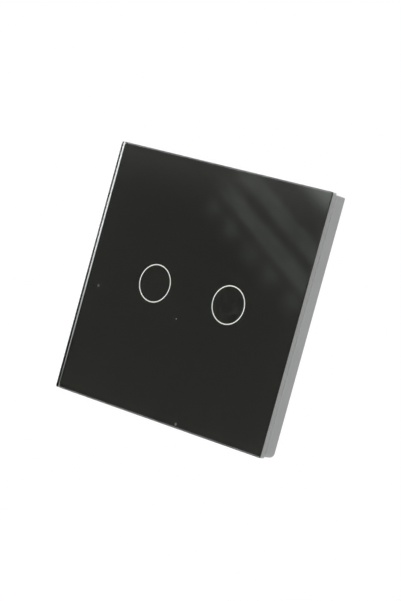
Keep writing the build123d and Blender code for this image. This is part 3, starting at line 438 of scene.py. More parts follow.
def zincSheet(name, colours, lineSpacing):
    # cold rolled steel, bright zinc plated: cool grey with faint lines from the rolls and soft cloudy patches
    material, tree = newMaterial(name)
    noise, bump = grain(tree, lineSpacing, 0.0008, stretch=(0.04, 1, 1), soften=0.1)
    cloud = addNode(tree, "TexNoise", {"Scale": 1 / plate["cloud"], "Detail": 4.0, "Vector": placeIn(tree)})
    patchy = addNode(tree, "MapRange", (cloud, *noiseSpan, 0.3, 0.36))
    lined = addNode(tree, "MapRange", (noise, *noiseSpan, -0.02, 0.03))
    return finishMaterial(material, "BsdfPrincipled", {
        "Base Color": mottled(tree, cloud, colours),
        "Metallic": 1.0,
        "Roughness": addNode(tree, "Math", (patchy, lined), operation="ADD"),
        "Normal": bump,
    })


dress(zincSheet("steelSheetZincPlated", plate["zinc"], plate["lineSpacing"]), "mounting_plate")
print("plate dressed")

# case screws: cross recessed, for plastic, sizes in mm

caseScrew = {
    "steel": ("#bfc1bf", "#d0d1cf"),
    "places": ((-18.6, 18.6), (18.6, -18.6)),
    "headRadius": 1.9,
    "shankRadius": 0.98,
    "rootRadius": 0.72,
    "pitch": 0.9,
    "recessDepth": 0.75,
    "recessReach": 1.05,
    "recessWeb": 0.21,
}
screwSteps, turnSteps = 30, 6  # points in a ring of a screw, and rings in a turn of its thread


def platedMetal(name, colours, roughness):
    # plated and barrel polished: bright, with small scratches that run all ways
    spread = (roughness - 0.04, roughness + 0.06)
    return finished(name, colours, spread, 0.25, 0.0006, {"Metallic": 1.0}, (2.5, 2.0), detail=4.0, soften=0.06)


def ringOf(centre, y, radii):
    # ring round an axis along Y with these radii, in mm
    turns = [2 * math.pi * i / len(radii) for i in range(len(radii))]
    return [Vector((centre[0] + r * math.cos(a), y, centre[1] + r * math.sin(a))) * mm for r, a in zip(radii, turns)]


def circleRing(centre, radius, y):
    return ringOf(centre, y, [radius] * screwSteps)


def threadRings(centre, start, end, pitch, root, crest):
    # rings of a helical thread along Y, in mm, running out at both ends
    rings = []
    count = int(abs(end - start) / pitch * turnSteps)
    for k in range(count + 1):
        y = start + (end - start) * k / count
        reach = (crest - root) * min(1.0, k / turnSteps, (count - k) / turnSteps)
        turns = [(y / pitch + i / screwSteps) % 1.0 for i in range(screwSteps)]
        rings.append(ringOf(centre, y, [root + reach * max(0.0, 1 - abs(turn - 0.5) * 2.6) for turn in turns]))
    return rings


def crossCutter(centre, top, bottom, arm, web, taper=1.0):
    # plus sign cut down from a top station, centre and sizes in mm
    mesh = bmesh.new()
    quarter = [(arm, web), (web, web), (web, arm)]
    outline = []
    for turn in range(4):
        outline += quarter
        quarter = [(-z, x) for x, z in quarter]
    rings = []
    for y, share in ((top, 1.0), (bottom, taper)):
        rings.append([Vector((centre[0] + x * share, y, centre[1] + z * share)) * mm for x, z in outline])
    skin(mesh, rings)
    return mesh


def caseScrews(steel):
    low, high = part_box("case_screws")
    face, tip = low.y / mm, high.y / mm
    head, root = caseScrew["headRadius"], caseScrew["rootRadius"]
    whole = bmesh.new()
    for centre in caseScrew["places"]:
        rings = [
            circleRing(centre, head * 0.9, face), circleRing(centre, head, face + 0.12),
            circleRing(centre, root, face + 1.25),
            *threadRings(centre, face + 1.35, tip - 1.4, caseScrew["pitch"], root, caseScrew["shankRadius"]),
            circleRing(centre, root * 0.6, tip - 0.6), circleRing(centre, 0.1, tip)]
        screw = bmesh.new()
        skin(screw, rings)
        floor = face + caseScrew["recessDepth"]
        recess = crossCutter(centre, face - 0.2, floor, caseScrew["recessReach"], caseScrew["recessWeb"], 0.5)
        whole.from_mesh(meshFrom(cutOut(screw, recess), "screw"))
    piece(whole, "case_screws_threaded", "base", [steel], "case_screws")


zincSteel = platedMetal("steelScrewZincPlated", caseScrew["steel"], 0.26)
caseScrews(zincSteel)
print("case screws made")

# terminals: slotted screws, rising clamps and bars, sizes in mm

terminal = {
    "names": ("left", "mid_left", "mid_right", "right"),
    "brass": ("#cfae6a", "#dcc084"),
    "shank": 1.25,
    "root": 1.0,
    "pitch": 0.5,
    "head": 1.9,
    "headHeight": 1.6,
    "slotWidth": 0.7,
    "slotDepth": 0.9,
}


def terminalScrew(name, steel):
    low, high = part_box(name + "_terminal_screw")
    centre = ((low.x + high.x) / 2 / mm, (low.z + high.z) / 2 / mm)
    tip, top = low.y / mm, high.y / mm
    under = top - terminal["headHeight"]
    head, root = terminal["head"], terminal["root"]
    rings = [
        circleRing(centre, root * 0.75, tip), circleRing(centre, root, tip + 0.25),
        *threadRings(centre, tip + 0.3, under - 0.25, terminal["pitch"], root, terminal["shank"]),
        circleRing(centre, root, under), circleRing(centre, head - 0.1, under),
        circleRing(centre, head, under + 0.1), circleRing(centre, head, top - 0.3),
        circleRing(centre, head - 0.1, top - 0.1), circleRing(centre, head - 0.32, top)]
    mesh = bmesh.new()
    skin(mesh, rings)
    slot = bmesh.new()
    floor, middle, half = (top - terminal["slotDepth"]) * mm, centre[1] * mm, terminal["slotWidth"] / 2 * mm
    ends = ((low.x - mm, floor, middle - half), (high.x + mm, high.y + mm, middle + half))
    roundedBlock(slot, *ends, 0.04, steps=1)
    label = name + "_terminal_screw"
    piece(cutOut(mesh, slot), label + "_threaded", name + "_screw", [steel], label)


brass = platedMetal("brassPressedTumbled", terminal["brass"], 0.3)
for name in terminal["names"]:
    terminalScrew(name, zincSteel)
    dress(brass, name + "_terminal_clamp")
dress(brass, "terminal_bars")
print("terminals made")

# light guides, touch springs and lamps behind the rings, sizes in mm

lightGuide = {"milk": ("#eff0ec", "#e6e8e3"), "soak": 1.2}
spring = {
    "tin": ("#b9b6ac", "#cfccc2"),
    "offset": 14.17,
    "baseRadius": 2.9,
    "topRadius": 3.5,
    "wireRadius": 0.25,
    "halfTurns": 6,
    "bend": 0.5,
}
lamp = {"body": ("#efeee6", "#e7e5da"), "phosphor": ("#e2c33c", "#efd75e"), "tin": ("#c9c8c2", "#dad9d3")}


def touchSpring(sideName, side, material):
    # straight leg, then three turns that widen towards the glass, the last one flat
    low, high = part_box(sideName + "_touch_spring")
    wire, bend, base, turns = spring["wireRadius"], spring["bend"], spring["baseRadius"], spring["halfTurns"]
    centre = side * spring["offset"]
    top, legEnd = low.y / mm + wire, high.y / mm
    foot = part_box("touch_board")[0].y / mm - wire
    path = [(centre + base, legEnd - 0.02 - (legEnd - foot - bend) * i / 3, -bend) for i in range(4)]
    for i in range(1, 5):
        a = math.pi / 2 * i / 5
        path.append((centre + base, foot + bend * (1 - math.sin(a)), -bend * math.cos(a)))
    steps = 24 * turns
    for i in range(steps + 1):
        halves = turns * i / steps
        climb = min(halves / (turns - 1), 1.0)
        radius = base + (spring["topRadius"] - base) * climb
        a = math.pi * halves
        path.append((centre + radius * math.cos(a), foot + (top - foot) * climb, radius * math.sin(a)))
    mesh = bmesh.new()
    tube(mesh, path, wire)
    piece(mesh, sideName + "_spring_wire", "base", [material], sideName + "_touch_spring", crease=50)


def indicatorLamp(sideName, materials):
    # white body with a cup of phosphor, and a tinned end above and below
    low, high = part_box(sideName + "_indicator_led")
    centre = ((low.x + high.x) / 2, low.y, (low.z + high.z) / 2)
    body, cup = bmesh.new(), bmesh.new()
    inset = 0.15 * mm
    roundedBlock(body, (low.x, low.y, low.z + inset), (high.x, high.y - 0.1 * mm, high.z - inset), 0.18)
    turned(cup, [(0.85, 0.35), (1.15, -0.2)], centre, steps=36)
    body = cutOut(body, cup)
    turned(body, [(0.84, 0.34), (1.0, 0.12), (0.7, 0.05), (0.35, 0.02), (0.0, 0.01)], centre, steps=36, index=1)
    for end, reach in ((low.z, 0.55), (high.z, -0.55)):
        near, far = sorted((end, end + reach * mm))
        ends = ((low.x + 0.3 * mm, high.y - 0.5 * mm, near), (high.x - 0.3 * mm, high.y, far))
        roundedBlock(body, *ends, 0.06, index=2, steps=1)
    piece(body, sideName + "_lamp", "base", materials, sideName + "_indicator_led")


tin = platedMetal("copperAlloyTinned", lamp["tin"], 0.24)
lampWhite = satinPlastic("polyphthalamideWhiteMoulded", lamp["body"], 0.4, grainSize=0.08, soften=0.04)
# spring wire, drawn and tinned: bright, with die lines along it, which are finer and are drawn to show
wireFinish = finished("springWireDrawnTinned", spring["tin"], (0.2, 0.34), 0.08, 0.002, {"Metallic": 1.0}, detail=3.0)
# silicone with phosphor, dispensed: glossy yellow dome, grainy inside
gel = finished("siliconePhosphorDispensed", lamp["phosphor"], 0.12, 0.09, 0.0, {"IOR": 1.41})
# opal acrylic, moulded with a polished face: milky, light soaks into it
opal = finished("acrylicOpalMoulded", lightGuide["milk"], 0.3, 0.6, 0.002, {
    "IOR": 1.49,
    "Subsurface Weight": 0.6,
    "Subsurface Radius": (1, 1, 0.9),
    "Subsurface Scale": lightGuide["soak"] * mm,
}, soften=0.1)
for sideName, side in sides:
    touchSpring(sideName, side, wireFinish)
    indicatorLamp(sideName, [lampWhite, gel, tin])
dress(opal, "left_light_guide", "right_light_guide")
print("light guides, springs and lamps made")

# boards: solder mask over copper tracks, sizes in mm

board = {
    "mask": "#0e4a2b",
    "overCopper": "#1b6b3c",
    "pad": "#c9c8c2",
    "edge": "#a39a5c",
    "trackPitch": 1.27,
    "trackWidth": 0.3,
    "trackShare": 0.86,
    "padPitch": 2.54,
    "padRadius": 0.42,
    "padShare": 0.16,
}


def boardCells(tree, pitch):
    # square cells over the board: the place from the middle of a cell, and its random number
    grid = placeIn(tree, (1 / pitch, 0, 1 / pitch))
    cell = addNode(tree, "VectorMath", (grid,), operation="FLOOR")
    inside = addNode(tree, "VectorMath", (grid,), operation="FRACTION")
    spot = addNode(tree, "VectorMath", (inside, (0.5, 0, 0.5)), operation="SUBTRACT")
    return spot, addNode(tree, "TexWhiteNoise", (cell,))


def solderMask():
    # glass epoxy board with green mask: tracks show paler through it, with tinned pads and a sawn edge
    material, tree = newMaterial("glassEpoxyGreenMask")
    spot, chance = boardCells(tree, board["trackPitch"])
    fromMiddle = addNode(tree, "VectorMath", (spot,), operation="ABSOLUTE")
    reach = addNode(tree, "SeparateXYZ", (fromMiddle,)).node.outputs
    half = board["trackWidth"] / board["trackPitch"] / 2
    upright, level = [addNode(tree, "Math", (reach[way], half), operation="LESS_THAN") for way in "XZ"]
    isUpright = addNode(tree, "Math", (chance, 0.5), operation="GREATER_THAN")
    line = addNode(tree, "Mix", {0: isUpright, 2: level, 3: upright})
    wanted = addNode(tree, "Math", (chance, board["trackShare"]), operation="LESS_THAN")
    track = addNode(tree, "Math", (line, wanted), operation="MULTIPLY")
    spot, chance = boardCells(tree, board["padPitch"])
    reach = addNode(tree, "VectorMath", (spot,), "Value", operation="LENGTH")
    inPad = addNode(tree, "Math", (reach, board["padRadius"] / board["padPitch"]), operation="LESS_THAN")
    wanted = addNode(tree, "Math", (chance, board["padShare"]), operation="LESS_THAN")
    pad = addNode(tree, "Math", (inPad, wanted), operation="MULTIPLY")
    facing = addNode(tree, "SeparateXYZ", (addNode(tree, "TexCoord", output="Normal"),), "Y")
    squareOn = addNode(tree, "Math", (facing,), operation="ABSOLUTE")
    onFace = addNode(tree, "Math", (squareOn, 0.5), operation="GREATER_THAN")
    colour = linear(board["mask"])
    for share, name in ((track, "overCopper"), (pad, "pad")):
        colour = addNode(tree, "Mix", {0: share, 6: colour, 7: linear(board[name])}, 2, data_type="RGBA")
    colour = addNode(tree, "Mix", {0: onFace, 6: linear(board["edge"]), 7: colour}, 2, data_type="RGBA")
    height = addNode(tree, "Math", (track, pad), operation="ADD")
    return finishMaterial(material, "BsdfPrincipled", {
        "Base Color": colour,
        "Metallic": addNode(tree, "Math", (pad, onFace), operation="MULTIPLY"),
        "Roughness": addNode(tree, "MapRange", (onFace, 0, 1, 0.75, 0.32)),
        "IOR": 1.55,
        "Normal": addNode(tree, "Bump", {"Strength": 0.6, "Distance": 0.03 * mm, "Height": height}),
    })


dress(solderMask(), "touch_board", "power_board")
print("boards dressed")

# chips, bridge rectifier and header, sizes in mm

chips = {"epoxy": ("#1b1c1d", "#232425"), "legPitch": 1.27, "legWidth": 0.42, "legSheet": 0.18, "legReach": 1.0}
bridge = {"legSpacing": 2.54, "legWidth": 0.7, "legReach": 0.8}
header = {"pitch": 2.54, "pins": 8, "pinWidth": 0.64}


def gullLeg(mesh, x, seat, away, bodyEdge, outward, rise):
    # one leg, bent from the body's middle down to the board
    thick = chips["legSheet"] / 2
    line = [(-0.2, rise), (0.22, rise), (0.42, rise - 0.18), (0.5, thick + 0.12), (0.62, thick)]
    line = [(bodyEdge + reach * outward, height) for reach, height in line + [(chips["legReach"], thick)]]
    rings = []
    for i, (z, height) in enumerate(line):
        ahead = Vector(line[min(i + 1, len(line) - 1)]) - Vector(line[max(i - 1, 0)])
        across = Vector((-ahead.y, ahead.x)).normalized() * thick
        ring = []
        for sx, s in ((-1, -1), (1, -1), (1, 1), (-1, 1)):
            point = (x + sx * chips["legWidth"] / 2, seat + away * (height + s * across.y), z + s * across.x)
            ring.append(Vector(point) * mm)
        rings.append(ring)
    skin(mesh, rings, 1)


def chip(node, away, legs, materials):
    # moulded body, away from its board (1 into the wall, -1 out of it), with a leg row at each long side
    low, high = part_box(node)
    seat, top = (low.y, high.y) if away > 0 else (high.y, low.y)
    reach = chips["legReach"] * mm
    mesh, dimple = bmesh.new(), bmesh.new()
    near, far = sorted((seat + away * 0.15 * mm, top))
    roundedBlock(mesh, (low.x, near, low.z + reach), (high.x, far, high.z - reach), 0.16, steps=2)
    spot = (low.x + 0.9 * mm, top, low.z + reach + 0.9 * mm)
    turned(dimple, [(0.35, 0.3 * away), (0.35, -0.08 * away), (0.2, -0.1 * away)], spot, steps=20)
    mesh = cutOut(mesh, dimple)
    middle = (low.x + high.x) / 2 / mm
    rise = (high.y - low.y) / mm / 2
    for i in range(legs):
        x = middle + (i - (legs - 1) / 2) * chips["legPitch"]
        for edge, outward in ((high.z - reach, 1), (low.z + reach, -1)):
            gullLeg(mesh, x, seat / mm, away, edge / mm, outward, rise)
    piece(mesh, node + "_with_legs", "base", materials, node)


def rectifier(materials):
    # small bridge: moulded body on four wide legs
    low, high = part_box("bridge_rectifier")
    mesh = bmesh.new()
    inset = 0.5 * mm
    roundedBlock(mesh, (low.x, low.y + 0.2 * mm, low.z + inset), (high.x, high.y, high.z - inset), 0.22, steps=2)
    half = bridge["legWidth"] / 2 * mm
    for side in (-1, 1):
        x = (low.x + high.x) / 2 + side * bridge["legSpacing"] / 2 * mm
        for end, inward in ((low.z, 1), (high.z, -1)):
            near, far = sorted((end, end + inward * bridge["legReach"] * mm))
            roundedBlock(mesh, (x - half, low.y, near), (x + half, low.y + mm, far), 0.09, index=1, steps=2)
    piece(mesh, "bridge_rectifier_body", "base", materials, "bridge_rectifier")


def headerPins():
    # square pins with pointed ends, soldered into both boards
    low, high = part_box("board_link_pins")
    middle, half = (low.z + high.z) / 2 / mm, header["pinWidth"] / 2
    faces = ((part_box("touch_board")[0].y, -1), (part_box("power_board")[1].y, 1))
    ends = ((low.y / mm, 0.45), (low.y / mm + 0.3, 1.0), (high.y / mm - 0.3, 1.0), (high.y / mm, 0.45))
    square = ((1, 1), (-1, 1), (-1, -1), (1, -1))
    mesh = bmesh.new()
    for i in range(header["pins"]):
        x = (i - (header["pins"] - 1) / 2) * header["pitch"]
        rings = []
        for y, share in ends:
            size = half * share
            rings.append([Vector((x + sx * size, y, middle + sz * size)) * mm for sx, sz in square])
        skin(mesh, rings)
        for face, out in faces:
            cone = [(0.88, 0.0), (0.8, 0.1 * out), (0.5, 0.3 * out), (0.4, 0.55 * out)]
            turned(mesh, cone, (x * mm, face, middle * mm), steps=20)
    piece(mesh, "header_pins_soldered", "base", [tin], "board_link_pins")


# epoxy moulding compound: near black, matte, with fine filler
epoxy = satinPlastic("epoxyMouldedBlack", chips["epoxy"], 0.55, grainSize=0.06, grainHeight=0.004, soften=0.06)
chip("touch_chip", 1, 7, [epoxy, tin])
chip("supply_chip", -1, 3, [epoxy, tin])
rectifier([epoxy, tin])
headerPins()
dress(epoxy, "board_link_spacer")
print("chips, rectifier and header made")

# film capacitor, fuse, electrolytic capacitors and varistor, sizes in mm

film = {"cast": ("#c9961f", "#d6a42c"), "edge": 0.7, "leads": 10.0, "leadRadius": 0.3}
fuse = {"shell": ("#4f3526", "#5a3d2c"), "edge": 0.5, "leads": 5.08}
can = {
    "sleeve": ("#1e2a3d", "#233148"),
    "stripe": "#aab4c4",
    "top": ("#c3c5c8", "#d3d5d7"),
    "bung": ("#141414", "#1c1c1c"),
}
disc = {"coat": ("#1d4f9e", "#2259ad"), "rim": 1.1, "leads": 3.5, "leadOffset": 0.5}


def gloss(name, colours, roughness, ripple):
    # epoxy, cast or dipped: glossy and slightly uneven
    return finished(name, colours, (roughness, roughness + 0.12), ripple, 0.02, {"IOR": 1.5}, soften=0.1)


def shrinkSleeve():
    # shrunk polyester sleeve: dark slate, semi gloss, a pale stripe down one side
    material, tree = newMaterial("polyesterSleeveShrunk")
    noise, bump = grain(tree, 1.2, 0.01)
    facing = addNode(tree, "SeparateXYZ", (addNode(tree, "TexCoord", output="Normal"),), "Z")
    stripe = addNode(tree, "Math", (facing, 0.88), operation="GREATER_THAN")
    sleeve = mottled(tree, noise, can["sleeve"])
    colour = addNode(tree, "Mix", {0: stripe, 6: sleeve, 7: linear(can["stripe"])}, 2, data_type="RGBA")
    look = {"Base Color": colour, "IOR": 1.57, "Roughness": 0.3, "Normal": bump}
    return finishMaterial(material, "BsdfPrincipled", look)


def boxedPart(node, name, materials, edge, leads):
    # cast or moulded body on two leads
    low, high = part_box(node)
    mesh = bmesh.new()
    roundedBlock(mesh, (low.x, low.y + 0.35 * mm, low.z), high, edge, steps=4)
    foot, middle = low.y / mm, (low.z + high.z) / 2 / mm
    for side in (-1, 1):
        x = (low.x + high.x) / 2 / mm + side * leads / 2
        tube(mesh, [(x, foot, middle), (x, foot + 0.3, middle), (x, foot + 0.8, middle)], film["leadRadius"], index=1)
        turned(mesh, [(0.62, 0.0), (0.55, 0.06), (0.32, 0.25)], Vector((x, foot, middle)) * mm, steps=20, index=1)
    piece(mesh, name, "base", materials, node)


def electrolyticCan(node, materials):
    # drawn can with a crimp over its rubber bung, and a scored vent on top
    low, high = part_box(node)
    centre = ((low.x + high.x) / 2, low.y, (low.z + high.z) / 2)
    radius, height = (high.x - low.x) / 2 / mm, (high.y - low.y) / mm
    crimp = [
        (radius * 0.8, 0.25), (radius - 0.25, 0.3), (radius - 0.03, 0.5), (radius, 0.8), (radius, 1.3),
        (radius - 0.12, 1.55), (radius - 0.5, 1.9), (radius - 0.5, 2.05), (radius - 0.12, 2.4), (radius, 2.65)]
    shoulder = [
        (radius, height - 0.7), (radius - 0.08, height - 0.35), (radius - 0.3, height - 0.1), (radius - 0.6, height)]
    mesh, sunk = bmesh.new(), bmesh.new()
    turned(mesh, crimp + shoulder, centre)
    turned(sunk, [(radius - 0.75, height + 0.3), (radius - 0.75, height - 0.12)], centre, index=1)
    mesh = cutOut(mesh, sunk)
    top = high.y / mm
    score = crossCutter((centre[0] / mm, centre[2] / mm), top, top - 0.24, radius * 0.62, 0.07)
    for face in score.faces:
        face.material_index = 1
    mesh = cutOut(mesh, score)
    turned(mesh, [(radius * 0.78, 0.0), (radius * 0.78, 0.4)], centre, index=2)
    piece(mesh, node + "_can", "base", materials, node)


def varistor(materials):
    # dipped disc on two leads
    low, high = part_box("varistor")
    radius, thick, rim = (high.x - low.x) / 2 / mm, (high.z - low.z) / 2 / mm, disc["rim"]
    centre = ((low.x + high.x) / 2, high.y - radius * mm, (low.z + high.z) / 2)
    edge = []
    for i in range(13):
        a = math.pi * (i / 12 - 0.5)
        edge.append((radius - rim + rim * math.cos(a) ** 0.8, thick * math.sin(a)))
    mesh = bmesh.new()
    turned(mesh, [(radius * 0.3, -thick)] + edge + [(radius * 0.3, thick)], centre, axis="Z")
    foot, depth = low.y / mm, centre[2] / mm
    for side in (-1, 1):
        x, z = centre[0] / mm + side * disc["leads"] / 2, depth + side * disc["leadOffset"]
        lead = [(x, foot, depth), (x, foot + 0.5, depth), (x, foot + 1.1, z), (x, foot + 2.2, z)]
        tube(mesh, lead, film["leadRadius"], index=1)
    piece(mesh, "varistor_dipped", "base", materials, "varistor")


castYellow = gloss("epoxyCastYellow", film["cast"], 0.22, 2.5)
fuseShell = satinPlastic("polyamideBrownMoulded", fuse["shell"], 0.42, soften=0.08)
canFinish = [
    shrinkSleeve(), platedMetal("aluminiumDrawnCan", can["top"], 0.32),
    satinPlastic("rubberMouldedBlack", can["bung"], 0.6, ior=1.52)]
boxedPart("film_capacitor", "film_capacitor_cast", [castYellow, tin], film["edge"], film["leads"])
boxedPart("fuse", "fuse_moulded", [fuseShell, tin], fuse["edge"], fuse["leads"])
electrolyticCan("filter_capacitor", canFinish)
electrolyticCan("output_capacitor", canFinish)
varistor([gloss("epoxyDippedBlue", disc["coat"], 0.25, 1.5), tin])
print("capacitors, fuse and varistor made")

# transformer and relays, sizes in mm

transformer = {"ferrite": ("#3a3b3d", "#444547"), "tape": ("#cfa92e", "#d9b63d")}
relay = {
    "shell": ("#23407e", "#284889"),
    "nylon": ("#34363a", "#3b3d41"),
    "copper": ("#b5622f", "#c87741"),
    "iron": ("#a5a6a4", "#b6b7b4"),
    "contact": ("#cb8f66", "#d0956c"),
    "turns": 26,
    "coilRadius": 2.9,
    "turnHeight": 0.1,
    "tubeSide": 3.2,
    "axis": 3.3,
    "pinSpacing": 6.6,
    "pinWidth": 0.64,
    "pinSheet": 0.8,
}


def windingTape():
    # polyester film tape, wound: glossy yellow film with the edge of each layer showing
    material, tree = newMaterial("polyesterTapeWound")
    sockets = {"Scale": 0.45, "Distortion": 0.6, "Vector": placeIn(tree)}
    layers = addNode(tree, "TexWave", sockets, bands_direction="Z")
    edges = addNode(tree, "Bevel", {"Radius": 0.2 * mm}, samples=4)
    return finishMaterial(material, "BsdfPrincipled", {
        "Base Color": mottled(tree, layers, transformer["tape"], (0.0, 1.0)),
        "Roughness": 0.28,
        "IOR": 1.6,
        "Coat Weight": 0.3,
        "Normal": addNode(tree, "Bump", {"Strength": 0.7, "Distance": 0.04 * mm, "Height": layers, "Normal": edges}),
    })


def relayCoil(sideName, materials):
    # turns laid side by side; the wire is 0.1 mm, and is drawn four times as thick to show
    low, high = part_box(sideName + "_relay_coil")
    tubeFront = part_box(sideName + "_relay_bobbin")[0].y
    bottom, top = low.z / mm, high.z / mm - relay["pinSheet"]
    centre = Vector(((low.x + high.x) / 2, tubeFront + relay["axis"] * mm, 0.0))
    inner, outer = relay["tubeSide"] / 2, relay["coilRadius"]
    ridge = relay["turnHeight"]
    pitch = (top - bottom) / relay["turns"]
    # reach, station and whether the ring follows the square tube inside
    stations = [(inner, bottom, True), (outer - ridge, bottom, False)]
    for turn in range(relay["turns"]):
        for share in (0.2, 0.5, 0.8):
            stations.append((outer - ridge * abs(share - 0.5) * 2.2, bottom + (turn + share) * pitch, False))
    stations += [(outer - ridge, top, False), (inner, top, True)]
    rings = []
    for reach, station, square in stations:
        ring = []
        for i in range(48):
            a = 2 * math.pi * i / 48
            size = reach / max(abs(math.cos(a)), abs(math.sin(a))) if square else reach
            ring.append(centre + Vector((size * math.cos(a), size * math.sin(a), station)) * mm)
        rings.append(ring)
    mesh = bmesh.new()
    skin(mesh, rings, loop=True)
    half, front = relay["pinWidth"] / 2 * mm, tubeFront / mm
    for side in (-1, 1):
        x = centre.x / mm + side * relay["pinSpacing"] / 2
        ends = ((x * mm - half, low.y, top * mm), (x * mm + half, tubeFront, high.z))
        roundedBlock(mesh, *ends, 0.08, index=1, steps=1)
        lead = [(0.0, -0.2, 0.1), (0.2, 0.4, -0.1), (0.8, 1.2, -0.3), (1.1, 1.9, -0.4)]
        tube(mesh, [(x - side * inward, front + back, top + rise) for inward, back, rise in lead], 0.07, steps=8)
    piece(mesh, sideName + "_coil_turns", "base", materials, sideName + "_relay_coil", crease=60)


# manganese zinc ferrite, sintered and ground: dark grey, dull, with small pores
pores = {"span": (0.3, 0.6), "detail": 5.0, "soften": 0.15}
ferrite = finished("ferriteSinteredGround", transformer["ferrite"], (0.45, 0.65), 0.25, 0.03, {"IOR": 1.8}, **pores)
dress(ferrite, "transformer_core")
dress(windingTape(), "transformer_winding")
shell = satinPlastic("polyesterBlueMoulded", relay["shell"], 0.36, soften=0.1, ior=1.57)
nylon = satinPlastic("polyamideCharcoalMoulded", relay["nylon"], 0.45, grainSize=0.1, soften=0.06, ior=1.53)
iron = zincSheet("softIronNickelPlated", relay["iron"], 0.12)
copper = platedMetal("copperAlloyRolled", relay["contact"], 0.28)
# copper wire in clear enamel: warm metal under a thin gloss
coated = {"Metallic": 0.9, "Coat Weight": 0.6, "Coat Roughness": 0.15}
enamel = finished("copperWireEnamelled", relay["copper"], (0.28, 0.4), 0.3, 0.004, coated)
for sideName, side in sides:
    dress(shell, sideName + "_relay_cover")
    dress(nylon, sideName + "_relay_base", sideName + "_relay_bobbin")
    dress(iron, sideName + "_relay_yoke", sideName + "_relay_armature")
    dress(copper, sideName + "_relay_moving_contact", sideName + "_relay_fixed_contact")
    relayCoil(sideName, [enamel, tin])
print("transformer and relays made")

# floor, lamps and world

studio = {
    "floorHeight": -0.16,
    "floorRadius": 0.5,
    "floorFade": (0.2, 0.49),
    "floorColour": "#f4f4f3",
    "floorGlow": 0.12,
    "lamps": (
        ("key", (-0.75, -1.15, 1.25), 1.5, 14),
        ("fill", (1.5, -0.1, 0.6), 1.2, 7),
        ("rear", (-0.4, 1.5, 0.7), 1.2, 8),
    ),
    "ambient": 0.6,
    # where each one starts and ends, and its light there
    "room": (0.015, 0.075, 0.06, 0.5),
    "front": (-0.1, -0.45, 0.0, 1.0),
    "flag": (0.84, 0.94, 1.0, 0.04),
    "flagWay": (-0.82, 0.57, 0.0),
}

# what the glass reflects: a ceiling light with slats, laid out across and along them in mm on the panel
slatLight = {
    "across": (229.1, -177.05, 388.9),
    "along": (388.9, -267.67, -229.1),
    "slats": {"peak": 30.3, "period": 8.1, "full": 0.35, "low": 0.3, "high": 1.0},
    "spots": {"peak": 6.9, "period": 10.4, "full": 1.0, "low": 0.16, "high": 0.72},
    "lastGap": 42.4,
    # where the light turns from spots to slats, fades at each side, and has its bright end
    "body": (22.5, 28.0),
    "lower": (17.5, 24.0),
    "upper": (70.0, 60.0),
    "left": (-21.0, -9.0),
    "right": (56.0, 44.0),
    "corner": (46.5, 54.5),
    "cornerLight": 2.0,
    "cloud": (0.11, 0.16, 0.0),
    "cloudiness": (0.35, 0.6, 0.75, 1.1),
    "colour": "#f3fff6",
    "strength": 0.55,
}


def makeFloor():
    # plain paper disc: it keeps the shadow, fades into the white surround, and is clear from below
    mesh = bmesh.new()
    height = Matrix.Translation((0, 0, studio["floorHeight"]))
    bmesh.ops.create_circle(mesh, cap_ends=True, segments=96, radius=studio["floorRadius"], matrix=height)
    data = meshFrom(mesh, "floor")
    material, tree = newMaterial("paperBackgroundMatte")
    ray = addNode(tree, "LightPath").node.outputs
    seen = ray["Is Camera Ray"]
    for kind in ("Is Glossy Ray", "Is Transmission Ray"):
        seen = addNode(tree, "Math", (seen, ray[kind]), operation="MAXIMUM")
    strength = addNode(tree, "Math", (seen, studio["floorGlow"]), operation="MULTIPLY")
    glow = addNode(tree, "Emission", (white, strength))
    bump = grain(tree, 0.8, 0.02, detail=4.0)[1]
    paper = addNode(tree, "BsdfDiffuse", {"Color": linear(studio["floorColour"]), "Normal": bump})
    flat = placeIn(tree, (mm, mm, 0))
    reach = addNode(tree, "VectorMath", (flat,), "Value", operation="LENGTH")
    fade = addNode(tree, "MapRange", (reach, *studio["floorFade"]), interpolation_type="SMOOTHSTEP")
    below = addNode(tree, "NewGeometry", output="Backfacing")
    clear = addNode(tree, "Math", (fade, below), operation="MAXIMUM")
    surface = addNode(tree, "AddShader", (paper, glow))
    parts = (clear, surface, addNode(tree, "BsdfTransparent"))
    data.materials.append(finishMaterial(material, "MixShader", parts))
    addThing("floor", data)


def softLamp(name, place, size, power):
    # square area lamp, aimed at the part
    data = bpy.data.lights.new(name, "AREA")
    data.size, data.energy = size, power
    thing = addThing(name, data)
    thing.location = place
    thing.rotation_euler = (-Vector(place)).to_track_quat("-Z", "Y").to_euler()


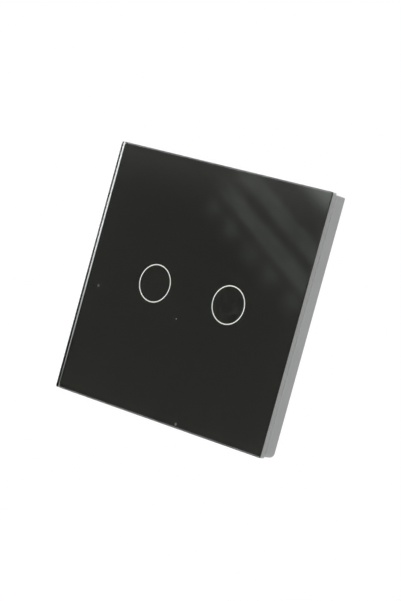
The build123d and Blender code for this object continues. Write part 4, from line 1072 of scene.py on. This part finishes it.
def slatReflection(tree, way, depth):
    # soft slats with a row of spots below them and a bright end above, as seen along a way; and how it rises
    ahead = addNode(tree, "Math", (depth, -1.0), operation="MULTIPLY")
    ahead = addNode(tree, "Math", (ahead, 0.05), operation="MAXIMUM")
    cast = addNode(tree, "VectorMath", (way, ahead), operation="DIVIDE")
    across, along = [
        addNode(tree, "VectorMath", (cast, slatLight[name]), "Value", operation="DOT_PRODUCT")
        for name in ("across", "along")]
    held = addNode(tree, "Math", (across, slatLight["lastGap"]), operation="MINIMUM")
    rows = []
    for value, row in ((along, slatLight["spots"]), (held, slatLight["slats"])):
        turn = 2 * math.pi / row["period"]
        angle = addNode(tree, "Math", (value, turn, -row["peak"] * turn), operation="MULTIPLY_ADD")
        swing = addNode(tree, "Math", (angle,), operation="COSINE")
        rows.append(addNode(tree, "MapRange", (swing, -1.0, row["full"], row["low"], row["high"])))
    body, lower, upper, corner, left, right = [
        addNode(tree, "MapRange", (value, *slatLight[name]), interpolation_type="SMOOTHSTEP")
        for value, names in ((across, ("body", "lower", "upper", "corner")), (along, ("left", "right")))
        for name in names]
    level = addNode(tree, "Mix", {0: body, 2: rows[0], 3: rows[1]})
    patch = addNode(tree, "CombineXYZ", (along, across))
    patch = addNode(tree, "VectorMath", (patch, slatLight["cloud"]), operation="MULTIPLY")
    cloud = addNode(tree, "TexNoise", {"Scale": 1.0, "Detail": 1.0, "Vector": patch})
    cloud = addNode(tree, "MapRange", (cloud, *slatLight["cloudiness"]))
    for share in (cloud, lower, upper, left, right):
        level = addNode(tree, "Math", (level, share), operation="MULTIPLY")
    for share in (upper, slatLight["cornerLight"]):
        corner = addNode(tree, "Math", (corner, share), operation="MULTIPLY")
    light = addNode(tree, "Math", (level, slatLight["strength"], corner), operation="MULTIPLY_ADD")
    return light, addNode(tree, "SeparateXYZ", (cast,), "Z")


def makeWorld():
    # white surround, plain ambient light, and for reflections a dim room with a ceiling light in it
    world = bpy.data.worlds.new("studio")
    bpy.context.scene.world = world
    world.use_nodes = True
    tree = world.node_tree
    tree.nodes.clear()
    ray = addNode(tree, "LightPath").node.outputs
    way = addNode(tree, "TexCoord", output="Generated")
    depth = addNode(tree, "SeparateXYZ", (way,), "Y")
    light, rise = slatReflection(tree, way, depth)
    # black flag at the left, behind the panel: it draws the dark line in the left edge
    toFlag = addNode(tree, "VectorMath", (way, studio["flagWay"]), "Value", operation="DOT_PRODUCT")
    room, inFront, flag = [
        addNode(tree, "MapRange", (value, *studio[name]), interpolation_type="SMOOTHSTEP")
        for value, name in ((rise, "room"), (depth, "front"), (toFlag, "flag"))]
    room = addNode(tree, "Mix", {0: inFront, 2: 1.0, 3: room})
    room = addNode(tree, "Math", (room, flag), operation="MULTIPLY")
    light = addNode(tree, "Math", (light, inFront), operation="MULTIPLY")
    seen = addNode(tree, "Math", (ray["Is Camera Ray"], ray["Is Transmission Ray"]), operation="MAXIMUM")
    dim, slats, ambient, surround = [addNode(tree, "Background", pair) for pair in (
        (white, room), (linear(slatLight["colour"]), light), (white, studio["ambient"]), (white, 1.0))]
    mirrored = addNode(tree, "AddShader", (dim, slats))
    plain = addNode(tree, "MixShader", (seen, ambient, surround))
    whole = addNode(tree, "MixShader", (ray["Is Glossy Ray"], plain, mirrored))
    addNode(tree, "OutputWorld", {"Surface": whole})


makeFloor()
for name, place, size, power in studio["lamps"]:
    softLamp(name, place, size, power)
makeWorld()
print("studio made")

bpy.context.scene.view_settings.view_transform = "Standard"
